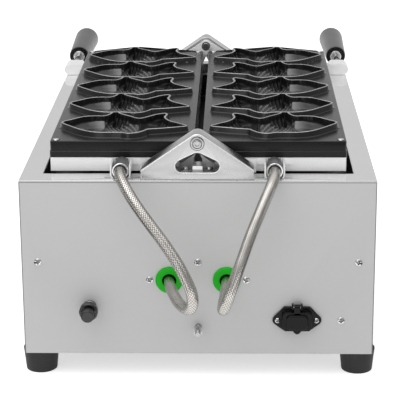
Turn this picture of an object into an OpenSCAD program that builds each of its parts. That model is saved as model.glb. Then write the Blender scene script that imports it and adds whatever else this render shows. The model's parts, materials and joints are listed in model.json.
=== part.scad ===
// Countertop fish-cake machine: a sheet-metal casing with two heated mould plates that fold on one long axis.
// Millimetres, +Z up, +Y towards the operator. The pieces are drawn about the casing's centre; the last lines move them,
// so that the origin is the middle of the whole footprint from reset button to grips, on the surface it stands on.

/* [Casing] */
// Width of the casing over its side panels
body_w = 362; // [350:1:380]
// Depth of the casing from rear panel to control panel
body_d = 512; // [504:1:540]
// Height of the casing from its lower edge to the deck
body_h = 188; // [160:1:220]
// Thickness of the casing sheet
sheet_t = 1.2; // [0.8:0.1:1.6]
// Thickness of the deck sheet
deck_t = 2; // [1.5:0.1:2.5]
// Width of the deck strip at each side of the well
deck_side = 22; // [20:0.5:24]
// Width of the deck strip at each end of the well
deck_end = 26; // [26:0.5:28]
// Depth of the well tray below the deck
well_depth = 30; // [15:1:50]
// Width of the well tray's hanging flange
well_flange = 8; // [5:1:12]

/* [Feet] */
// Height of the rubber feet
foot_h = 24.5; // [15:0.5:35]
// Radius of a foot at its top
foot_top_r = 18.7; // [15:0.1:20]
// Radius of a foot at its tread
foot_tread_r = 16.2; // [12:0.1:18]
// Distance from a side panel to a foot's centre
foot_side = 14.5; // [13:0.5:20]
// Distance from a rear or front panel to a foot's centre
foot_end = 21; // [19:0.5:40]

/* [Mould plates] */
// Distance from a side panel to the mould plate beside it
plate_side = 28.5; // [26:0.5:31]
// Distance from the rear or control panel to the mould plates
plate_end = 34; // [34:0.5:37]
// Thickness of the plate without its rims
mould_t = 17; // [15:0.5:20]
// Gap between the two plates
mould_gap = 7; // [6:0.5:9]
// Height of the fish rims above the plate
rim_h = 6.2; // [4:0.1:8]
// Width of the flat land on top of a rim
rim_land = 2; // [1.5:0.1:2.4]
// Spread of a rim's wall at its foot
rim_draft = 1.6; // [0.8:0.1:2]
// Depth of a fish cavity below the land
cavity_depth = 14; // [11:0.5:16]
// Distance from the plate's outer edge to the fish's mouth
fish_inset = 8; // [7:0.5:10]
// Distance from a fish's tail tip to the plate's inner edge
fish_tail_gap = 9.5; // [8:0.5:12]
// Length of the plate that is left over by its row of fish
fish_spare = 18.25; // [17:0.25:20]
// Distance from the plate's edges to its corner screws
screw_inset = 6.4; // [6.2:0.1:6.8]

/* [Heater housings] */
// Height of a heater housing
housing_h = 14.5; // [13.5:0.5:18]
// Wall of a heater housing
housing_wall = 1.2; // [0.8:0.1:1.5]
// Step in from the mould plate's edge to the housing
housing_inset = 0.8; // [0.5:0.1:1.2]
// Radius of the tubular heating element
element_r = 4; // [3:0.1:4.2]
// Distance between the two legs of the element
element_span = 66; // [50:1:80]
// Thickness of the insulation board
board_t = 4; // [2:0.5:4.5]

/* [Hinge] */
// Gap between the two sets of rims when one plate lies on the other
mating_gap = 0.5; // [0.4:0.1:0.8]
// Radius of the pivot pins
pin_r = 4; // [3.5:0.1:4.5]
// Radial running clearance of a pin in its bush
pin_clearance = 0.04; // [0.02:0.01:0.08]
// Wall of a bronze bush
bush_wall = 1.3; // [1:0.1:1.4]
// Outer radius of a hinge arm's eye
eye_r = 7.1; // [6.9:0.1:7.2]
// Thickness of a hinge arm
arm_t = 3; // [2.5:0.1:3.2]
// Gap between arms, plates and pedestals along the axis
arm_gap = 0.3; // [0.3:0.1:0.5]
// Distance from the axis to the outer end of an arm's foot
arm_reach = 59.4; // [50:0.5:60]
// Width of a pedestal's foot
pedestal_w = 114.6; // [100:0.5:116]
// Depth of a pedestal along the axis
pedestal_d = 23; // [20:0.5:23]
// Distance from the casing's face to a pedestal
pedestal_set = 2.3; // [1:0.1:2.5]
// Height of a pedestal's upright ends
pedestal_end_h = 10.4; // [8:0.1:12]
// Radius of a pedestal's rounded top
apex_r = 9.6; // [9.2:0.1:10.5]
// Wall of a pedestal's shell
pedestal_wall = 4; // [3:0.5:5]
// Thickness of a pedestal's face
pedestal_face = 6; // [5:0.5:8]

/* [Handles] */
// How far a handle bracket stands out beyond the mould plate
bracket_out = 31.3; // [28:0.1:34]
// How far a handle bracket reaches inwards under the plate's end
bracket_in = 42; // [30:1:50]
// Depth of a handle bracket
bracket_d = 27; // [24:0.5:28]
// Distance from the mould plate's edge to the handle's axis
rod_out = 20; // [16:0.1:22]
// Radius of a handle rod
rod_r = 4; // [3.5:0.1:5]
// Free length of a handle rod
rod_l = 56; // [30:1:60]
// Radius of a grip at its inner end
grip_near_r = 13; // [11:0.1:14]
// Radius of a grip at its free end
grip_far_r = 16; // [14:0.1:18]
// Length of a grip
grip_l = 118; // [90:1:130]

/* [Conduits] */
// Radius of the braided conduits
conduit_r = 5.8; // [5.4:0.1:6]
// Distance from the axis to a gland
gland_x = 78; // [77:0.5:80]
// Height of a gland's axis above the deck
gland_h = 8.4; // [8.2:0.1:8.6]
// Length of a gland
gland_l = 29; // [24:0.5:30]
// Bore radius of a gland
gland_bore_r = 6.5; // [6.2:0.1:6.7]
// Wall of a gland
gland_wall = 0.8; // [0.6:0.1:0.9]
// Distance from the middle to a grommet
grommet_x = 29.5; // [29:0.5:30]
// Height of the grommets above the casing's lower edge
grommet_h = 81.7; // [80:0.1:83]
// Outer radius of a grommet
grommet_r = 14.2; // [13:0.1:15]

/* [Rear panel] */
// Distance from a side panel to the inlet's middle
inlet_side = 79; // [73:0.5:86]
// Height of the inlet above the casing's lower edge
inlet_h = 38.5; // [30:0.5:45]
// Distance between the inlet's screws
inlet_pitch = 40; // [38:0.5:42]
// Travel of the inlet's cover is about a pin of this radius
cover_pin_r = 1.2; // [1:0.1:1.4]
// Distance from a side panel to the reset button
reset_side = 69; // [61:0.5:81]
// Height of the reset button above the casing's lower edge
reset_h = 52.2; // [45:0.1:60]
// Radius of the reset button
reset_r = 6.2; // [5.5:0.1:6.5]
// Radius of the earth stud
stud_r = 3; // [2.5:0.1:3.2]
// Height of the earth stud above the casing's lower edge
stud_h = 30.5; // [25:0.5:35]
// Height of the upper panel screws above the casing's lower edge
screw_row_h = 101; // [98:0.5:110]

/* [Control panel] */
// Height of the control knobs above the casing's lower edge
knob_h = 96; // [80:1:110]
// Distance from the middle to each knob
knob_x = 96; // [80:1:110]
// Radius of a control knob
knob_r = 19; // [15:0.5:22]
// Width of the power switch
switch_w = 30; // [26:0.5:34]
// Height of the power switch
switch_h = 22; // [20:0.5:26]
// Radius of a pilot lamp
lamp_r = 6; // [5:0.1:8]

/* [Hidden] */
$fn = 64;

// Levels and places that several pieces share
rear_y = -body_d / 2;
deck_z = foot_h + body_h;
rest_gap = 0.2;
overrun = 1;
half_w = body_w / 2;
inlet_x = half_w - inlet_side;
reset_x = half_w - reset_side;
housing_z = deck_z + rest_gap;
plate_z = housing_z + housing_h;
plate_top = plate_z + mould_t;
land_z = plate_top + rim_h;
pivot_z = land_z + mating_gap / 2;
mould_in = mould_gap / 2;
mould_out = half_w - plate_side;
mould_w = mould_out - mould_in;
mould_l = body_d - 2 * plate_end;
mould_end = -mould_l / 2;
housing_end = mould_end + housing_inset;
seat = 0.02;

// Hardware of one size, used on several pieces
small_screw_r = 2;
small_head_r = 3.5;
small_head_h = 2.2;
screw_clearance = 0.15;
nut_r = 4;
nut_h = 3;

// Values of the deck, tray and brace
well_lip = 4.5;
brace_low = 72;
brace_high = 110;
brace_t = 1.6;
brace_lip = 14;
brace_inset = 4;
vent_w = 50;
vent_h = 6;
vent_pitch = 14;
vent_rows_y = 130;

// Values of the feet and their screws
foot_recess_r = 7;
foot_recess_h = 6;
foot_screw_head_r = 5;
foot_screw_head_h = 3;
foot_screw_r = 2.4;

// Values of a mould plate
plate_step_share = 0.38;
plate_step_in = 0.7;
plate_corner_r = 2;
plate_chamfer = 0.5;
fish_count = 5;
fish_l = mould_w - fish_inset - fish_tail_gap;
fish_pitch = (mould_l - fish_spare) / fish_count;
fish_width_share = 1.5443;
fish_b = fish_pitch * fish_width_share;
fin_pad_x = 0.4068 * fish_l;
fin_pad_y = 0.3369 * fish_b;
fin_pad_half = 2;
fin_pad_r = 3;
tail_rib_x = 0.6198 * fish_l;
tail_rib_y0 = 0.0076 * fish_b;
tail_rib_y1 = 0.1293 * fish_b;
tail_rib_r = 0.9;
tail_rib_h = 1.8;
counterbore_r = 4;
counterbore_d = 3;
boss_r = 4;
screw_bite = 8;

// Outline of a fish in shares of its length and breadth, mouth at zero, round the belly to the tail and back over the fin
fish_shares = [[0, 0], [0.087, -0.131], [0.195, -0.25], [0.307, -0.307], [0.428, -0.309], [0.497, -0.315],
    [0.555, -0.341], [0.626, -0.312], [0.676, -0.247], [0.702, -0.211], [0.808, -0.184], [0.93, -0.143],
    [1, -0.108], [0.941, -0.034], [0.862, 0.046], [0.818, 0.156], [0.828, 0.262], [0.806, 0.295],
    [0.737, 0.252], [0.617, 0.131], [0.528, 0.205], [0.448, 0.288], [0.43, 0.334], [0.384, 0.334],
    [0.36, 0.262], [0.318, 0.209], [0.242, 0.209], [0.155, 0.184], [0.064, 0.091]];
fish_steps = 2;
fish_heart_share = [0.45, -0.034];
// Rings of a cavity: share of its depth, step in from the land's middle as a share of the land, and two scales
cavity_ring_shares = [[0.29, 1.1, 1, 1], [0.64, 0, 0.93, 0.82], [1, 0, 0.8, 0.55]];

// Values of the heater housing's contents
element_top_gap = 0.1;
element_inset = 16;
wire_hole_r = 5;
board_inset = 13;

// Values of the hinge
head_r = 6.7;
head_h = 1.6;
cap_r = 4.6;
cap_h = 1.2;
socket_r = 2.3;
clip_r = 5.6;
clip_t = 0.8;
pin_end = 1.6;
foot_in = 1.2;
arm_foot_drop = 0.4;
web_reach_share = 0.82;
arm_screw_shares = [0.36, 0.84];
arm_screw_h = 8;
sink_r = 3.8;
sink_d = 2.4;
flange_h = 6;
rib_w = 10;
rib_h = 13;
bolt_x = 12;
bolt_y = 15.5;
bolt_head_r = 4.2;
bolt_head_h = 4.6;
bolt_r = 2.5;
bolt_end = 4;
// Window of a pedestal: low corners, top, and how far its edge slopes in
window_corner_x = 15.6;
window_corner_z = 14.3;
window_corner_r = 6.5;
window_top_z = 19.2;
window_top_r = 9;
window_slope = 2.4;

// Values of the handles
bracket_thread = 14;
bar_depth = 10;
boss_in = 9.5;
boss_slope = 5;
ferrule_r = 7.3;
ferrule_bore_r = 5.3;
ferrule_l = 3;
grip_round = 4;
grip_bore_gap = 0.1;
grip_core = 70;

// Values of the glands
guard_half_w = 10.4;
guard_wall = 1.7;
guard_floor = 0.6;
guard_top = 14.4;
guard_round = 5;
gland_flange_half = 18.6;
gland_flange_z = 7.4;
gland_lip = 0.5;
grommet_bore_r = 6.5;
grommet_face = 3.4;
grommet_back = 2.6;
grommet_neck_r = 9.6;

// Values of the inlet, in its own middle
inlet_flange_t = 3;
inlet_half_w = 13.5;
inlet_low = -11.4;
inlet_high = 14.6;
inlet_ear_r = 5.2;
inlet_face = 7;
inlet_shell_half = 13.4;
inlet_shell_low = -10;
inlet_shell_high = 10.6;
inlet_cup_half = 12.2;
inlet_cup_low = -8.2;
inlet_cup_high = 8.6;
inlet_back = 20;
inlet_floor = 2.5;
blade_w = 2;
blade_h = 4;
blade_l = 15;
blade_x = 7;
blade_drop = 2;
blade_rise = 2;
cover_gap = 0.3;
cover_half_w = 15.3;
cover_low = -9.4;
cover_high = 11;
cover_t = 2.8;
cover_pad_half = 11.4;
cover_pad_low = -7.6;
cover_pad_high = 9.6;
cover_pad_t = 2.6;
cover_round = 2.5;
cover_axis_h = 15.8;
cover_axis_out = 7.2;
knuckle_r = 3.2;
knuckle_half = 3.4;
lug_w = 1.9;
lug_gap = 0.3;
tab_half = 3;
tab_drop = 3.4;

// Values of the reset body and the earth stud
reset_neck_r = 7;
reset_neck_l = 10;
reset_ring_r = 8.9;
reset_ring_l = 8;
reset_body_r = 11;
reset_body_l = 26;
reset_out = 12;
reset_gap = 0.3;
reset_stem_r = 4;
reset_travel = 2.5;
stud_l = 24;
stud_inner = 10;
stud_nut_r = 5.5;
stud_nut_h = 3.4;
stud_washer_r = 6;
stud_washer_h = 1;

// Values of the control panel's fittings
knob_depth = 18;
knob_skirt_r = 22;
knob_skirt_h = 4;
knob_gap = 0.5;
knob_ribs = 12;
knob_rib_r = 2.2;
spindle_r = 3;
spindle_clearance = 0.06;
spindle_l = 15;
spindle_flat = 12;
thermostat_w = 44;
thermostat_d = 32;
timer_w = 50;
timer_d = 42;
switch_lip = 2;
switch_depth = 24;
switch_wall = 2;
rocker_gap = 0.6;
rocker_tilt = 8;
rocker_pin_r = 1.5;
rocker_face_r = 16;
lamp_x = 18;
lamp_rise = 30;
lamp_lens_h = 5;
lamp_body_r = 4.5;
lamp_body_l = 22;
block_l = 64;
block_w = 18;
block_h = 20;
block_cells = 5;
block_bore_r = 2.4;

// Routes of the conduits: from inside the rear panel, out through the grommet, round a loop and up into the gland.
// Each point is [x, distance out from the rear panel, height above the casing's lower edge].
left_route = [[-29.5, -10, 81.7], [-29.5, 4, 81.7], [-27.5, 18, 80.5], [-23.5, 32, 77], [-18, 45, 73.5],
    [-11.5, 57, 72.5], [-6, 67, 76], [-3.5, 73, 84.5], [-4.5, 75, 96], [-9.5, 73, 108], [-16, 69, 120],
    [-24, 63.5, 131.5], [-33, 57.5, 143], [-43, 51, 154.5], [-53, 43.5, 166], [-62.5, 34.5, 177],
    [-70.5, 24, 187], [-76, 12.5, 193.8], [-78, 2, 196.3], [-78, -7, 196.4], [-78, -18, 196.4], [-78, -28, 196.4]];
right_route = [[29.5, -10, 81.7], [29.5, 4, 81.7], [29, 18, 80], [28, 32, 76.5], [26.5, 46, 73],
    [26, 58, 72.5], [27, 68, 76], [29.5, 74.5, 84.5], [33, 76.5, 96], [37.5, 74.5, 108], [42, 70.5, 120],
    [46.5, 65, 131.5], [51, 59, 143], [56, 52.5, 154.5], [61.5, 45, 166], [67, 36, 177], [72.5, 25.5, 187],
    [76.5, 14, 193.8], [78, 3, 196.3], [78, -7, 196.4], [78, -18, 196.4], [78, -28, 196.4]];
conduit_sides = 12;

// Turns a left-hand piece into the right-hand one
module hand(right) {
    if (right) mirror([1, 0, 0]) children();
    else children();
}

// Turns a rear piece into the front one
module end(front) {
    if (front) mirror([0, 1, 0]) children();
    else children();
}

// A box between two corners
module block(low, high) {
    translate(low) cube(high - low);
}

// A cylinder along Y from y0 to y1
module rod_y(x, z, r, y0, y1) {
    translate([x, y0, z]) rotate([-90, 0, 0]) cylinder(r = r, h = y1 - y0);
}

// An outline drawn in X and Z, carried along Y from y0 to y1
module upright(y0, y1) {
    translate([0, y1, 0]) rotate([90, 0, 0]) linear_extrude(y1 - y0) children();
}

// An outline drawn in Y and Z, carried along X from x0 to x1
module along_x(x0, x1) {
    translate([x0, 0, 0]) rotate([90, 0, 90]) linear_extrude(x1 - x0) children();
}

// A flat rectangle with round corners, from low to high
module soft_square(low, high, r) {
    translate([low[0] + r, low[1]]) square([high[0] - low[0] - 2 * r, high[1] - low[1]]);
    translate([low[0], low[1] + r]) square([high[0] - low[0], high[1] - low[1] - 2 * r]);
    for (x = [low[0] + r, high[0] - r]) for (y = [low[1] + r, high[1] - r]) translate([x, y]) circle(r);
}

// A pan-head screw whose head stands on y = 0 and whose shank runs to +Y
module pan_screw(shank) {
    rotate([90, 0, 0]) cylinder(r1 = small_head_r, r2 = small_head_r * 0.7, h = small_head_h);
    rotate([-90, 0, 0]) cylinder(r = small_screw_r, h = shank);
}

// Where the tangent from point p meets a circle, on the side given by turn
function tangent(p, c, r, turn) =
    let (d = p - c, a = atan2(d[1], d[0]) + turn * acos(r / norm(d)))
    [c[0] + r * cos(a), c[1] + r * sin(a)];

// Casing

module side_panel(right) {
    hand(right) color("lightgray")
        block([-half_w, rear_y + sheet_t, foot_h], [-half_w + sheet_t, -rear_y - sheet_t, deck_z - deck_t]);
}

module rear_panel() {
    color("lightgray") difference() {
        block([-half_w, rear_y, foot_h], [half_w, rear_y + sheet_t, deck_z - deck_t]);
        for (s = [-1, 1]) rod_y(s * grommet_x, foot_h + grommet_h, grommet_neck_r, rear_y - overrun, rear_y + sheet_t + overrun);
        rod_y(-reset_x, foot_h + reset_h, reset_neck_r, rear_y - overrun, rear_y + sheet_t + overrun);
        rod_y(0, foot_h + stud_h, stud_r, rear_y - overrun, rear_y + sheet_t + overrun);
        translate([inlet_x, 0, foot_h + inlet_h])
            block([-inlet_shell_half, rear_y - overrun, inlet_shell_low], [inlet_shell_half, rear_y + sheet_t + overrun, inlet_shell_high]);
        for (p = inlet_screw_places()) rod_y(p[0], p[1], small_screw_r, rear_y - overrun, rear_y + sheet_t + overrun);
        for (p = panel_screw_places()) rod_y(p[0], p[1], small_screw_r, rear_y - overrun, rear_y + sheet_t + overrun);
    }
}

module control_panel() {
    front = -rear_y;
    color("lightgray") difference() {
        block([-half_w, front - sheet_t, foot_h], [half_w, front, deck_z - deck_t]);
        for (s = [-1, 1]) rod_y(s * knob_x, foot_h + knob_h, spindle_r + knob_gap, front - sheet_t - overrun, front + overrun);
        for (s = [-1, 1]) rod_y(s * lamp_x, foot_h + knob_h + lamp_rise, lamp_body_r, front - sheet_t - overrun, front + overrun);
        block([-switch_w / 2, front - sheet_t - overrun, foot_h + knob_h - switch_h / 2],
            [switch_w / 2, front + overrun, foot_h + knob_h + switch_h / 2]);
    }
}

module base_plate() {
    x = half_w - sheet_t;
    y = -rear_y - sheet_t;
    color("silver") difference() {
        block([-x, -y, foot_h], [x, y, foot_h + sheet_t]);
        for (s = [-1, 1]) for (t = [-1, 1]) translate([s * (half_w - foot_side), t * (-rear_y - foot_end), foot_h - overrun])
            cylinder(r = foot_screw_r, h = sheet_t + 2 * overrun);
        for (s = [-1, 1]) for (i = [-2:2]) translate([-vent_w / 2, s * vent_rows_y + i * vent_pitch - vent_h / 2, foot_h - overrun])
            cube([vent_w, vent_h, sheet_t + 2 * overrun]);
    }
}

module deck() {
    color("gainsboro") difference() {
        block([-half_w, rear_y, deck_z - deck_t], [half_w, -rear_y, deck_z]);
        block([-half_w + deck_side, rear_y + deck_end, deck_z - deck_t - overrun],
            [half_w - deck_side, -rear_y - deck_end, deck_z + overrun]);
        for (s = [-1, 1]) for (f = [0, 1]) end(f) translate([s * bolt_x, rear_y + bolt_y, deck_z - deck_t - overrun])
            cylinder(r = bolt_r, h = deck_t + 2 * overrun);
    }
}

module well_tray() {
    x = half_w - deck_side;
    y = -rear_y - deck_end;
    top = deck_z - deck_t;
    low = deck_z - well_depth;
    color("silver") difference() {
        union() {
            block([-x - sheet_t, -y - sheet_t, low - sheet_t], [x + sheet_t, y + sheet_t, top]);
            block([-x - well_flange, -y - well_lip, top - sheet_t], [x + well_flange, y + well_lip, top]);
        }
        block([-x, -y, low], [x, y, top + overrun]);
    }
}

// Angle behind the rear panel that takes its screws and carries the terminal block
module rear_brace() {
    x = half_w - sheet_t - brace_inset;
    y = rear_y + sheet_t;
    color("silver") difference() {
        union() {
            block([-x, y, foot_h + brace_low], [x, y + brace_t, foot_h + brace_high]);
            block([-x, y, foot_h + brace_high - brace_t], [x, y + brace_lip, foot_h + brace_high]);
        }
        for (s = [-1, 1]) rod_y(s * grommet_x, foot_h + grommet_h, grommet_r, y - overrun, y + brace_t + overrun);
        for (p = brace_screw_places()) rod_y(p[0], p[1], small_screw_r, y - overrun, y + brace_t + overrun);
    }
}

module feet() {
    color("#202022") for (s = [-1, 1]) for (t = [-1, 1]) translate([s * (half_w - foot_side), t * (-rear_y - foot_end), 0])
        difference() {
            cylinder(r1 = foot_tread_r, r2 = foot_top_r, h = foot_h);
            translate([0, 0, -overrun]) cylinder(r = foot_recess_r, h = foot_recess_h + overrun);
            cylinder(r = foot_screw_r, h = foot_h + overrun);
        }
}

module foot_screws() {
    color("silver") for (s = [-1, 1]) for (t = [-1, 1])
        translate([s * (half_w - foot_side), t * (-rear_y - foot_end), foot_recess_h - foot_screw_head_h]) {
            cylinder(r = foot_screw_head_r, h = foot_screw_head_h);
            cylinder(r = foot_screw_r, h = foot_h - foot_recess_h + foot_screw_head_h + sheet_t);
            translate([0, 0, foot_h - foot_recess_h + foot_screw_head_h + sheet_t]) cylinder(r = nut_r, h = nut_h, $fn = 6);
        }
}

// Screws of the rear panel: the upper row and the pair beside the grommets hold the brace, one stands alone
panel_screw_in = 16.7;
lone_screw_side = 33.5;
bracket_screw_x = 49.6;
lone_screw_x = half_w - lone_screw_side;
lone_screw_h = 37.4;
function brace_screw_places() = [[-half_w + panel_screw_in, foot_h + screw_row_h], [0, foot_h + screw_row_h],
    [half_w - panel_screw_in, foot_h + screw_row_h], [-bracket_screw_x, foot_h + grommet_h],
    [bracket_screw_x, foot_h + grommet_h]];
function panel_screw_places() = concat(brace_screw_places(), [[lone_screw_x, foot_h + lone_screw_h]]);
function inlet_screw_places() = [for (s = [-1, 1]) [inlet_x + s * inlet_pitch / 2, foot_h + inlet_h]];

module panel_screws() {
    shank = sheet_t + brace_t + nut_h + overrun;
    color("silver") {
        for (p = panel_screw_places()) translate([p[0], rear_y, p[1]]) pan_screw(shank);
        for (p = brace_screw_places()) rod_nut(p, rear_y + sheet_t + brace_t);
        rod_nut([lone_screw_x, foot_h + lone_screw_h], rear_y + sheet_t);
    }
}

// A hexagonal nut whose axis lies along Y
module rod_nut(p, y) {
    translate([p[0], y, p[1]]) rotate([-90, 0, 0]) cylinder(r = nut_r, h = nut_h, $fn = 6);
}

// Hinge pedestals, pins and bolts

// Outline of a pedestal in X and height above the deck, drawn in by a wall thickness
module pedestal_outline(wall, low) {
    c = [0, pivot_z - deck_z];
    foot = [pedestal_w / 2, pedestal_end_h];
    touch = tangent(foot, c, apex_r, 1);
    slope = atan2(touch[1] - foot[1], foot[0] - touch[0]);
    x = foot[0] - wall;
    z = foot[1] + wall * tan(slope) - wall / cos(slope);
    top = [touch[0] - wall * sin(slope), touch[1] - wall * cos(slope)];
    polygon([[-x, low], [x, low], [x, z], top, [-top[0], top[1]], [-x, z]]);
}

// Window through a pedestal's face, wide in front and drawn in behind
module pedestal_window(y0, y1) {
    hull() for (k = [0, 1]) {
        y = k == 0 ? y0 : y1;
        step = k * window_slope;
        for (s = [-1, 1]) translate([s * (window_corner_x - step), y, deck_z + window_corner_z - step / 2])
            rotate([-90, 0, 0]) cylinder(r = window_corner_r - step, h = 0.01 * window_slope, $fn = 32);
        translate([0, y, deck_z + window_top_z]) rotate([-90, 0, 0])
            cylinder(r = window_top_r - step, h = 0.01 * window_slope, $fn = 32);
    }
}

module pedestal(front) {
    y0 = rear_y + pedestal_set;
    y1 = y0 + pedestal_d;
    inner = y0 + pedestal_face;
    end(front) color("silver") difference() {
        union() {
            difference() {
                union() {
                    translate([0, 0, deck_z]) upright(y0, y1) pedestal_outline(0, 0);
                    rod_y(0, pivot_z, apex_r, y0, y1);
                }
                translate([0, 0, deck_z]) upright(inner, y1 + overrun) pedestal_outline(pedestal_wall, flange_h);
            }
            rod_y(0, pivot_z, apex_r, y0, y1);
            block([-rib_w / 2, y0, deck_z], [rib_w / 2, y1, deck_z + rib_h]);
        }
        pedestal_window(y0 - overrun, inner);
        rod_y(0, pivot_z, pin_r + seat, y0 - overrun, y1 + overrun);
        for (s = [-1, 1]) translate([s * bolt_x, rear_y + bolt_y, deck_z - overrun]) cylinder(r = bolt_r, h = flange_h + 2 * overrun);
    }
}

module pedestal_bolts() {
    color("silver") for (f = [0, 1]) end(f) for (s = [-1, 1]) translate([s * bolt_x, rear_y + bolt_y, 0]) {
        translate([0, 0, deck_z + flange_h]) cylinder(r1 = bolt_head_r, r2 = bolt_head_r * 0.75, h = bolt_head_h);
        translate([0, 0, deck_z - deck_t - bolt_end]) cylinder(r = bolt_r, h = flange_h + deck_t + bolt_end);
        translate([0, 0, deck_z - deck_t - nut_h]) cylinder(r = nut_r, h = nut_h, $fn = 6);
    }
}

// Pivot pin: flanged head on the pedestal's face, shank through pedestal and arms, clip at its inner end
module pivot_pin(front) {
    face = rear_y + pedestal_set;
    tip = mould_end + pin_end;
    clip_y = mould_end - arm_gap + seat;
    end(front) color("silver") {
        difference() {
            union() {
                rod_y(0, pivot_z, head_r, face - head_h, face);
                rod_y(0, pivot_z, cap_r, face - head_h - cap_h, face);
                rod_y(0, pivot_z, pin_r, face - head_h, tip);
            }
            translate([0, face - head_h - cap_h - overrun, pivot_z]) rotate([-90, 0, 0])
                cylinder(r = socket_r, h = cap_h + head_h + overrun, $fn = 6);
        }
        difference() {
            rod_y(0, pivot_z, clip_r, clip_y, clip_y + clip_t);
            rod_y(0, pivot_z, pin_r + seat, clip_y - overrun, clip_y + clip_t + overrun);
        }
    }
}

// Mould plates

// A point on a smooth curve through four neighbours
function curve_point(a, b, c, d, t) =
    0.5 * (2 * b + (c - a) * t + (2 * a - 5 * b + 4 * c - d) * t * t + (3 * b - a - 3 * c + d) * t * t * t);
function fish_curve() = let (n = len(fish_shares))
    [for (i = [0:n - 1]) for (k = [0:fish_steps - 1])
        curve_point(fish_shares[(i + n - 1) % n], fish_shares[i], fish_shares[(i + 1) % n], fish_shares[(i + 2) % n],
            k / fish_steps)];
fish_line = [for (p = fish_curve()) [p[0] * fish_l, p[1] * fish_b]];
fish_heart = [fish_heart_share[0] * fish_l, fish_heart_share[1] * fish_b];

// The outline moved outwards by a distance, negative for inwards
function moved_outline(out) = let (n = len(fish_line))
    [for (i = [0:n - 1]) let (t = fish_line[(i + 1) % n] - fish_line[(i + n - 1) % n], u = t / norm(t))
        fish_line[i] + out * [u[1], -u[0]]];

// The outline scaled about the fish's heart
function scaled_outline(line, sx, sy) =
    [for (p = line) [fish_heart[0] + (p[0] - fish_heart[0]) * sx, fish_heart[1] + (p[1] - fish_heart[1]) * sy]];

// A closed solid through a stack of outlines, each with its own height
module lofted(outlines, heights) {
    n = len(outlines[0]);
    m = len(outlines);
    points = [for (k = [0:m - 1]) for (p = outlines[k]) [p[0], p[1], heights[k]]];
    walls = [for (k = [0:m - 2]) for (i = [0:n - 1]) let (j = (i + 1) % n)
        each [[k * n + i, (k + 1) * n + j, k * n + j], [k * n + i, (k + 1) * n + i, (k + 1) * n + j]]];
    bottom = [for (i = [0:n - 1]) i];
    top = [for (i = [0:n - 1]) m * n - 1 - i];
    polyhedron(points, concat(walls, [bottom], [top]));
}

module fish_rim() {
    lofted([moved_outline(rim_land / 2 + rim_draft * (1 + overrun / rim_h)), moved_outline(rim_land / 2)],
        [plate_top - overrun, land_z]);
}

module fish_cavity() {
    mouth = moved_outline(-rim_land / 2);
    rings = [for (r = cavity_ring_shares) scaled_outline(moved_outline(-rim_land * r[1]), r[2], r[3])];
    lofted(concat([rings[2], rings[1], rings[0]], [mouth], [mouth]),
        concat([for (k = [2, 1, 0]) land_z - cavity_depth * cavity_ring_shares[k][0]], [land_z], [land_z + overrun]));
}

// Places of the fish: mouths at the plate's outer edge, spaced evenly about the plate's middle
fish_offset_share = 0.028;
function fish_place(i) = [-mould_out + fish_inset,
    (i - (fish_count - 1) / 2) * fish_pitch + fish_offset_share * fish_b];

function mould_screw_places() = [for (x = [-mould_out + screw_inset, -mould_in - screw_inset])
    for (y = [mould_end + screw_inset, -mould_end - screw_inset]) [x, y]];

// A slab with round corners and a small chamfer round its top, drawn in from the plate's edge
module plate_slab(inset, z0, z1) {
    hull() for (x = [-mould_out + inset + plate_corner_r, -mould_in - inset - plate_corner_r])
        for (y = [mould_end + inset + plate_corner_r, -mould_end - inset - plate_corner_r]) translate([x, y, z0]) {
            cylinder(r = plate_corner_r, h = z1 - z0 - plate_chamfer, $fn = 16);
            cylinder(r = plate_corner_r - plate_chamfer, h = z1 - z0, $fn = 16);
        }
}

// Flat pad where a fin's rim runs into the next fish's belly
module fin_pad() {
    hull() for (s = [-1, 1]) translate([fin_pad_x + s * fin_pad_half, fin_pad_y, plate_top - overrun])
        cylinder(r = fin_pad_r, h = rim_h + overrun, $fn = 16);
}

// Low rib on a cavity's floor, between the scales and the tail
module tail_rib() {
    hull() for (y = [tail_rib_y0, tail_rib_y1]) translate([tail_rib_x, y, land_z - cavity_depth - overrun])
        cylinder(r1 = tail_rib_r, r2 = tail_rib_r / 2, h = tail_rib_h + overrun, $fn = 8);
}

module mould_plate(right) {
    step_z = plate_z + mould_t * plate_step_share;
    hand(right) color("#26262a") {
        difference() {
            union() {
                plate_slab(0, plate_z, step_z);
                plate_slab(plate_step_in, plate_z + mould_t / 4, plate_top);
                for (i = [0:fish_count - 1]) translate(fish_place(i)) {
                    fish_rim();
                    fin_pad();
                }
            }
            for (i = [0:fish_count - 1]) translate(fish_place(i)) fish_cavity();
            for (p = mould_screw_places()) translate([p[0], p[1], plate_z - overrun])
                cylinder(r = small_screw_r + screw_clearance, h = mould_t + 2 * overrun, $fn = 24);
            for (p = mould_screw_places()) translate([p[0], p[1], plate_top - counterbore_d])
                cylinder(r = counterbore_r, h = counterbore_d + overrun, $fn = 24);
        }
        for (i = [0:fish_count - 1]) translate(fish_place(i)) tail_rib();
    }
}

// Heater housings and what they hold

module heater_housing(right) {
    x0 = -mould_out + housing_inset;
    x1 = -mould_in - housing_inset;
    hand(right) color("whitesmoke") difference() {
        union() {
            difference() {
                block([x0, housing_end, housing_z], [x1, -housing_end, plate_z]);
                block([x0 + housing_wall, housing_end + housing_wall, housing_z + housing_wall],
                    [x1 - housing_wall, -housing_end - housing_wall, plate_z + overrun]);
            }
            for (p = mould_screw_places()) translate([p[0], p[1], housing_z]) cylinder(r = boss_r, h = housing_h);
        }
        for (p = mould_screw_places()) translate([p[0], p[1], plate_z - screw_bite]) cylinder(r = small_screw_r, h = screw_bite + overrun);
        rod_y(-gland_x, deck_z + gland_h, wire_hole_r, housing_end - overrun, housing_end + housing_wall + overrun);
        for (f = [0, 1]) end(f) for (x = arm_screw_places())
            rod_y(x, deck_z + arm_screw_h, small_screw_r, housing_end - overrun, housing_end + housing_wall + overrun);
    }
}

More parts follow.
